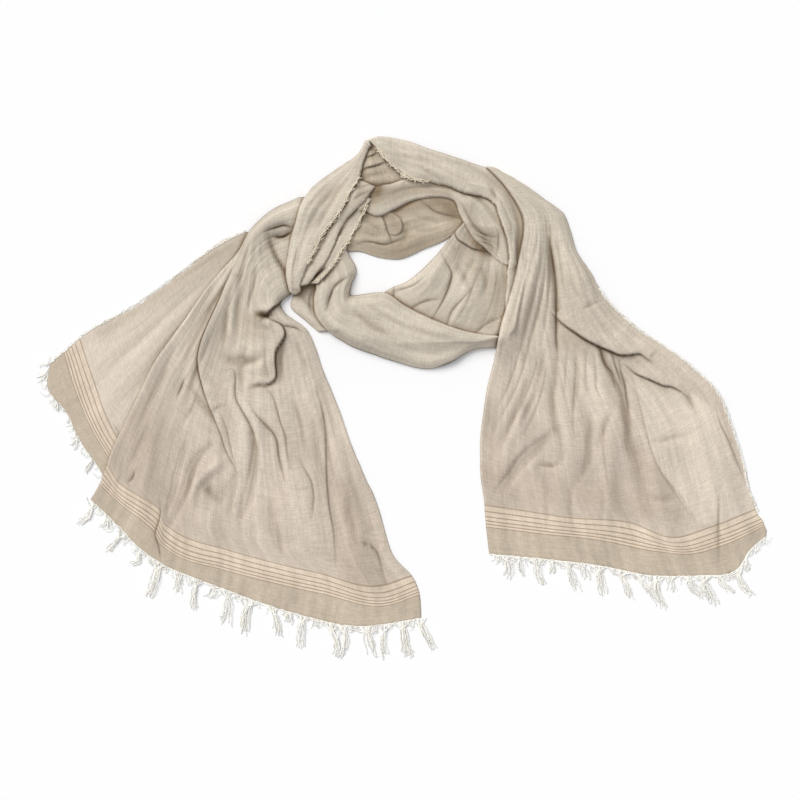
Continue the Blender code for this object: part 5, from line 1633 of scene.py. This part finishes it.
@dataclass
class Fringe:
    """A hem's fringe: twined header threads, gathered tassels and stray ends."""

    node: str
    hem: ClothStretch
    tassels: tuple[Tassel, ...]
    seed: int
    strays: int
    thread_mm: float = 0.62  # radius of a loosened yarn

    def hem_points(self) -> tuple[np.ndarray, np.ndarray, np.ndarray]:
        """Reads the hem of the cloth.

        Returns:
            Points along the hem, the direction out of the cloth, and the hem's own.
        """
        edge, inner = self.hem.plan[-1], self.hem.plan[-5]
        out = edge - inner
        out /= np.linalg.norm(out, axis=1, keepdims=True)
        along = np.gradient(edge, axis=0)
        along /= np.linalg.norm(along, axis=1, keepdims=True)
        return edge, out, along

    def root(self, rows: tuple, place: np.ndarray, at: float) -> tuple[np.ndarray, ...]:
        """Reads the hem at one place.

        Args:
            rows: Points along the hem, the way out of the cloth and along it.
            place: Distance of each of them along the hem.
            at: The distance to read at.

        Returns:
            The point, the way out of the cloth and the way along the hem.
        """
        return tuple(np.array([np.interp(at, place, row[:, k]) for k in (0, 1)]) for row in rows)

    def thread(self, rng: np.random.Generator, corners: list, curl: float) -> np.ndarray:
        """Makes one wavy thread through its corners.

        Args:
            rng: Seeded source.
            corners: Plan points from the root at the hem to the loose end.
            curl: How far the thread wanders from its line, in millimetres.

        Returns:
            Points of the thread with heights.
        """
        corners = np.array(corners)
        length = lengths_along(corners)[-1]
        count = int(np.clip(length / 1.5, 6, 30))
        plan = smooth_path(corners, count)
        ahead = np.gradient(plan, axis=0)
        ahead /= np.maximum(np.linalg.norm(ahead, axis=1, keepdims=True), 1e-6)
        side = np.stack([-ahead[:, 1], ahead[:, 0]], axis=1)
        t = np.linspace(0, 1, len(plan))
        turns = length / rng.uniform(10, 18)
        wave = np.sin(rng.uniform(0, math.tau) + turns * math.tau * t)
        wave += 0.5 * np.sin(rng.uniform(0, math.tau) + 2.3 * turns * math.tau * t)
        plan = plan + (curl * (0.3 + 0.7 * t) * wave)[:, None] * side
        lift = 0.8 + rng.uniform(0.4, 3.0) * np.sin(math.pi * (0.1 + 0.85 * t))
        return np.column_stack([plan, lift])

    def tassel_paths(self, rng: np.random.Generator, tassel: Tassel, root: tuple) -> list:
        """Makes the threads of one tassel, which gather below the hem and part at their ends.

        Args:
            rng: Seeded source.
            tassel: Its length, lean and number of threads.
            root: Its plan point on the hem, the way out of the cloth and along the hem.

        Returns:
            Points along each thread.
        """
        centre, way, side = root
        bow = rng.normal(0, 2.0)
        knot = min(0.32 * tassel.length, 11.0)
        paths = []
        for _ in range(tassel.threads):
            spread = rng.normal(0, 0.6 * knot)
            lane = rng.normal(0, 2.2)
            length = tassel.length * rng.uniform(0.85, 1.15)
            sway = tassel.lean * length / tassel.length
            corners = [
                centre + way * 1.6 + side * spread,
                centre + way * knot * 0.5 + side * (0.5 * spread + 0.15 * sway),
                centre + way * knot + side * (lane + 0.3 * sway + 0.5 * bow),
                centre + way * 0.5 * (knot + length) + side * (lane * 1.3 + 0.65 * sway + bow),
                centre + way * length + side * (lane * 1.3 + sway + rng.normal(0, 1.8)),
            ]
            paths.append(self.thread(rng, corners, rng.uniform(0.3, 0.9)))
        return paths

    def build(self, material: bpy.types.Material) -> bpy.types.Object:
        """Makes the fringe as one joined mesh.

        Args:
            material: The yarn's finish.

        Returns:
            The object.
        """
        rng = np.random.default_rng(self.seed)
        rows = self.hem_points()
        edge, out, _ = rows
        place = lengths_along(edge)
        paths = []
        for row in (0.6, 1.5):
            wander = 0.35 * rng.normal(size=(len(edge), 1))
            line = (edge + out * (row + wander))[::2]
            paths.append(np.column_stack([line, np.full(len(line), 0.9)]))
        heads = len(paths)
        for tassel in self.tassels:
            root = self.root(rows, place, tassel.along * place[-1])
            paths += self.tassel_paths(rng, tassel, root)
        full = len(paths)
        for _ in range(self.strays):
            centre, way, side = self.root(rows, place, rng.uniform(0, place[-1]))
            length, lean = rng.uniform(3, 14), rng.normal(0, 5.0)
            corners = [centre + way * 1.0, centre + way * 0.6 * length + side * 0.2 * lean]
            corners.append(centre + way * length * rng.uniform(0.5, 1.0) + side * lean)
            paths.append(self.thread(rng, corners, rng.uniform(0.3, 1.2)))
        radii = []
        for k, path in enumerate(paths):
            shape = 1.0 if k < heads else np.linspace(1.0, 0.7, len(path))
            size = self.thread_mm * (0.75 if k >= full else 1.0) * rng.uniform(0.8, 1.15)
            radii.append(size * shape * np.ones(len(path)))
        points, faces = threads(paths, radii)
        return mesh_object("threads_" + self.node, points, faces, material)

    def dress(self, made: bpy.types.Object) -> None:
        """Attaches the fringe to the root and hides the imported part that it stands for.

        Args:
            made: The fringe's object.
        """
        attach(made, "root")
        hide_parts(self.node)


@dataclass
class FrayedEdge:
    """Short loose threads along a worn edge, on its left where side is 1."""

    name: str
    points: tuple[float, ...]
    seed: int
    length: float = 4.2
    spacing: float = 1.9
    spread: float = 2.6
    thread_mm: float = 0.6
    side: float = 1.0
    bleached: bool = False
    lanes: tuple[float, float] = (-0.6, 0.8)

    def walk(self, count: int) -> tuple[np.ndarray, np.ndarray, np.ndarray]:
        """Walks along the edge.

        Args:
            count: Number of points.

        Returns:
            Points along the edge, the direction along it and the way out of the cloth.
        """
        line = smooth_path(plan_points(self.points), count)
        ahead = np.gradient(line, axis=0)
        ahead /= np.linalg.norm(ahead, axis=1, keepdims=True)
        return line, ahead, np.stack([-ahead[:, 1], ahead[:, 0]], axis=1) * self.side

    def build(self, pile: HeightMap, material: bpy.types.Material) -> bpy.types.Object:
        """Makes the loose threads as one joined mesh that lies on the pile.

        Args:
            pile: The height of everything laid.
            material: The yarn's finish.

        Returns:
            The object.
        """
        rng = np.random.default_rng(self.seed)
        length_mm = lengths_along(plan_points(self.points))[-1]
        line, ahead, out = self.walk(round(length_mm / self.spacing))
        paths = []
        for spot, forward, way in zip(line, ahead, out):
            length = self.length * rng.uniform(0.4, 1.2)
            lean = rng.normal(0, 0.8)
            root = spot - way * rng.uniform(0.4, 2.0) + forward * rng.normal(0, 0.6)
            t = np.linspace(0, 1, 6)[:, None]
            bend = rng.normal(0, self.spread)
            plan = root + (way + forward * lean) * length * t + forward * bend * t * t
            level = pile.read(pile.heights, root[None])[0] - 0.35 * length * t[:, 0]
            height = np.maximum(pile.read(pile.heights, plan), level) + 0.6
            paths.append(np.column_stack([plan, height]))
        line, ahead, out = self.walk(round(length_mm / 1.1))
        level = pile.read(pile.heights, line - out * 1.5) + 0.5
        for lane in self.lanes:
            shape = noise(rng, np.full(len(line), lane * 9.0), np.arange(len(line)), (4, 2.6))
            plan = line + out * (lane + 0.8 * shape[:, None])
            paths.append(np.column_stack([plan, level]))
        radii = [np.linspace(1.0, 0.7, len(path)) * self.thread_mm for path in paths]
        points, faces = threads(paths, radii)
        made = mesh_object(self.name, points, faces, material)
        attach(made, "root")
        return made


FRAYS = {
    "lapel": FrayedEdge("fray_outer_lapel", (-50, 266, -54, 258, -59, 251, -64, 241, -67, 234,
        -74, 224, -80, 215, -89, 204, -96, 193, -101, 182, -106, 172, -110, 162), 41, side=1.0),
    "lapel_under": FrayedEdge("fray_inner_lapel", (-40, 234, -43, 226, -48, 217, -53, 208, -58, 199,
        -64, 188, -70, 180, -76, 169, -82, 161, -90, 151, -101, 142), 42, side=1.0),
    "crown_band": FrayedEdge("fray_crown", (-26, 301, -20, 292, -14, 286, -7, 280, 1, 272, 11, 266,
        24, 263, 34, 262), 43, length=4.0, side=-1.0),
    "left_end_under": FrayedEdge("fray_left_selvage", (-185, 204, -210, 192, -240, 173, -276, 146,
        -312, 120, -348, 98, -377, 82, -403, 60,
        -419, 47), 44, length=2.0, spacing=1.7, thread_mm=0.45, side=-1.0, bleached=True),
    "right_end": FrayedEdge("fray_right_selvage", (240, 134, 248, 121, 266, 103, 288, 84, 319, 64,
        356, 36, 383, 8, 398, -29, 412, -72, 422, -114,
        432, -134), 45, length=2.0, spacing=1.7, thread_mm=0.45, side=1.0, bleached=True),
}


@dataclass
class Studio:
    """White paper floor, soft light from above and a camera that looks straight down."""

    frame_m: float = 0.96
    lens_mm: float = 85.0
    sensor_mm: float = 36.0
    look_at_m: tuple[float, float] = (0.0016, 0.0002)
    floor_m: float = 40.0
    key_from: tuple[float, float, float] = (-0.62, 0.72, 1.0)
    key_strength: float = 2.22
    key_spread: float = 0.6
    sky: float = 0.57

    def floor(self, material: bpy.types.Material) -> bpy.types.Object:
        """Lays the paper floor, in a few squares.

        Args:
            material: The paper's finish.

        Returns:
            The floor.
        """
        half = self.floor_m / 2 / MM
        line = np.linspace(-half, half, 13)
        x, y = np.meshgrid(line, line, indexing="ij")
        points = np.stack([x, y, np.full_like(x, FLOOR_LEVEL)], axis=-1).reshape(-1, 3)
        faces = grid_faces(np.arange(len(points)).reshape(x.shape), True)
        made = mesh_object("paper_floor", points, faces, material)
        return made

    def light(self) -> None:
        """Sets an even pale sky and one far, wide softbox from the upper left."""
        world = bpy.data.worlds.new("soft_sky")
        bpy.context.scene.world = world
        world.use_nodes = True
        sky = world.node_tree.nodes["Background"]
        sky.inputs["Color"].default_value = (0.97, 0.985, 1.0, 1.0)
        sky.inputs["Strength"].default_value = self.sky
        lamp = bpy.data.lights.new("softbox", "SUN")
        lamp.energy = self.key_strength
        lamp.angle = self.key_spread
        lamp.color = (1.0, 0.985, 0.965)
        made = bpy.data.objects.new("softbox", lamp)
        made.location = self.key_from
        made.rotation_mode = "QUATERNION"
        made.rotation_quaternion = (-Vector(self.key_from)).to_track_quat("-Z", "Y")
        bpy.context.scene.collection.objects.link(made)

    def camera(self) -> None:
        """Hangs the camera over the middle of the photograph's frame."""
        lens = bpy.data.cameras.new("camera")
        lens.lens = self.lens_mm
        lens.sensor_width = self.sensor_mm
        made = bpy.data.objects.new("camera", lens)
        made.location = (*self.look_at_m, self.frame_m * self.lens_mm / self.sensor_mm + 0.008)
        bpy.context.scene.collection.objects.link(made)
        bpy.context.scene.camera = made
        bpy.context.scene.view_settings.view_transform = "Standard"


def stretches() -> list[ClothStretch]:
    """Lists the stretches of cloth in the order in which they lie.

    Returns:
        The stretches, lowest first.
    """
    end = {"cell": END_CELL, "shoulder": END_SHOULDER, "held": "laid"}
    end |= {"bridge": 5.0, "relief": 1.7, "lines": 1.4}
    under = {**end, "crinkle": 0.2, "relief": 1.2, "worn": (1.0, 0.2)}
    right = {**end, "bridge": 8.0, "reach": 7, "worn": (0.2, 1.0)}
    loop = {"cell": LOOP_CELL, "shoulder": LOOP_SHOULDER, "held": "folded"}
    loop |= {"crinkle": 0.95, "relief": 1.35, "lines": 1.1}
    smooth = {**loop, "crinkle": 0.45}
    high = {**loop, "reach": 6, "worn": (0.2, 1.0)}
    double, single, shaded = Slot.DOUBLE, Slot.SINGLE, Slot.SHADED
    rows = (
        ("left_end_under", single, 1.4, LEFT_UNDER_SECTIONS, LEFT_UNDER_FOLDS, under),
        ("nape_panel", shaded, 2.6, NAPE_SECTIONS, NAPE_FOLDS, loop),
        ("apex_lining", shaded, 2.6, APEX_SECTIONS, APEX_FOLDS, loop),
        ("inner_strand", double, 3.6, STRAND_SECTIONS, STRAND_FOLDS, loop),
        ("tuck", double, 3.4, TUCK_SECTIONS, TUCK_FOLDS, loop),
        ("left_end_front", double, 3.2, LEFT_FRONT_SECTIONS, LEFT_FRONT_FOLDS, end),
        ("collar_roll", double, 4.0, ROLL_SECTIONS, ROLL_FOLDS, loop),
        ("front_band", double, 4.4, FRONT_SECTIONS, FRONT_FOLDS, smooth),
        ("crown_band", double, 4.0, CROWN_SECTIONS, CROWN_FOLDS, high),
        ("lapel_under", double, 2.4, LAPEL_UNDER_SECTIONS, LAPEL_UNDER_FOLDS, high),
        ("lapel_inner", double, 2.4, LAPEL_INNER_SECTIONS, LAPEL_INNER_FOLDS, high),
        ("lapel", double, 3.0, LAPEL_SECTIONS, LAPEL_FOLDS, high),
        ("right_end", double, 3.2, RIGHT_SECTIONS, RIGHT_FOLDS, right),
    )
    patches = {
        "right_end": RIGHT_PATCHES,
        "left_end_front": LEFT_FRONT_PATCHES,
        "collar_roll": ROLL_PATCHES,
        "lapel_inner": LAPEL_INNER_PATCHES,
        "lapel_under": LAPEL_UNDER_PATCHES,
        "left_end_under": LEFT_UNDER_PATCHES,
        "nape_panel": NAPE_PATCHES,
        "inner_strand": STRAND_PATCHES,
    }
    made = []
    for seed, (node, slot, lip, sections, folds, kind) in enumerate(rows, start=1):
        tables = {
            "sections": tuple(Section(*row) for row in sections),
            "folds": tuple(Fold(*row) for row in folds),
            "patches": tuple(Patch(*row) for row in patches.get(node, ())),
        }
        made.append(ClothStretch(node, slot, lip=lip, seed=seed, **tables, **kind))
    return made


def main() -> None:
    """Builds the scarf, its threads and the studio, and reports each piece."""
    logging.basicConfig(level=logging.INFO, format="%(name)s: %(message)s")
    gauze = {
        Slot.DOUBLE: LinenGauze("washed_linen_gauze").material(),
        Slot.SINGLE: LinenGauze("washed_linen_gauze_single", cloth="D7CABB", uneven=0.45).material(),
        # A darker copy of the cloth for the inside of the loop: painted shade.
        Slot.SHADED: LinenGauze("washed_linen_gauze_painted_shade", loop="BDB09C").material(),
    }
    yarn = FringeYarn().material()
    raw_yarn = FringeYarn("linen_yarn", pale="F1E8D6", shade="DCCFB8").material()
    fringes = {
        "left_end_under": ("fringe_left_under", LEFT_UNDER_FRINGE, 31, 40),
        "left_end_front": ("fringe_left_front", LEFT_FRINGE, 32, 150),
        "right_end": ("fringe_right", RIGHT_FRINGE, 33, 120),
    }
    pile = HeightMap()
    laid = stretches()
    for stretch in laid:
        stretch.lay_out()
        stretch.drape(pile)
    below = "paper_floor"
    for stretch in laid:
        # Painted shade in recesses and beside higher edges, read off the whole pile.
        stretch.painted_shade = pile.painted_shade_in_recesses(stretch.plan, stretch.top)
        made = stretch.build(gauze[stretch.slot])
        pieces = []
        if stretch.node in fringes:
            node, tassels, seed, strays = fringes[stretch.node]
            fringe = Fringe(node, stretch, tassels, seed, strays)
            pieces.append(fringe.build(yarn))
            fringe.dress(pieces[0])
        if stretch.node in FRAYS:
            fray = FRAYS[stretch.node]
            pieces.append(fray.build(pile, yarn if fray.bleached else raw_yarn))
        stretch.dress(made, rests_on=[below], with_pieces=pieces)
        below = made.name
        LOG.info("%s: %.1f mm high", made.name, stretch.top.max())
        for piece in (made, *pieces):
            LOG.info("%s: %d faces", piece.name, len(piece.data.polygons))
    studio = Studio()
    studio.floor(BackdropPaper().material())
    studio.light()
    studio.camera()


if __name__ == "__main__":
    main()
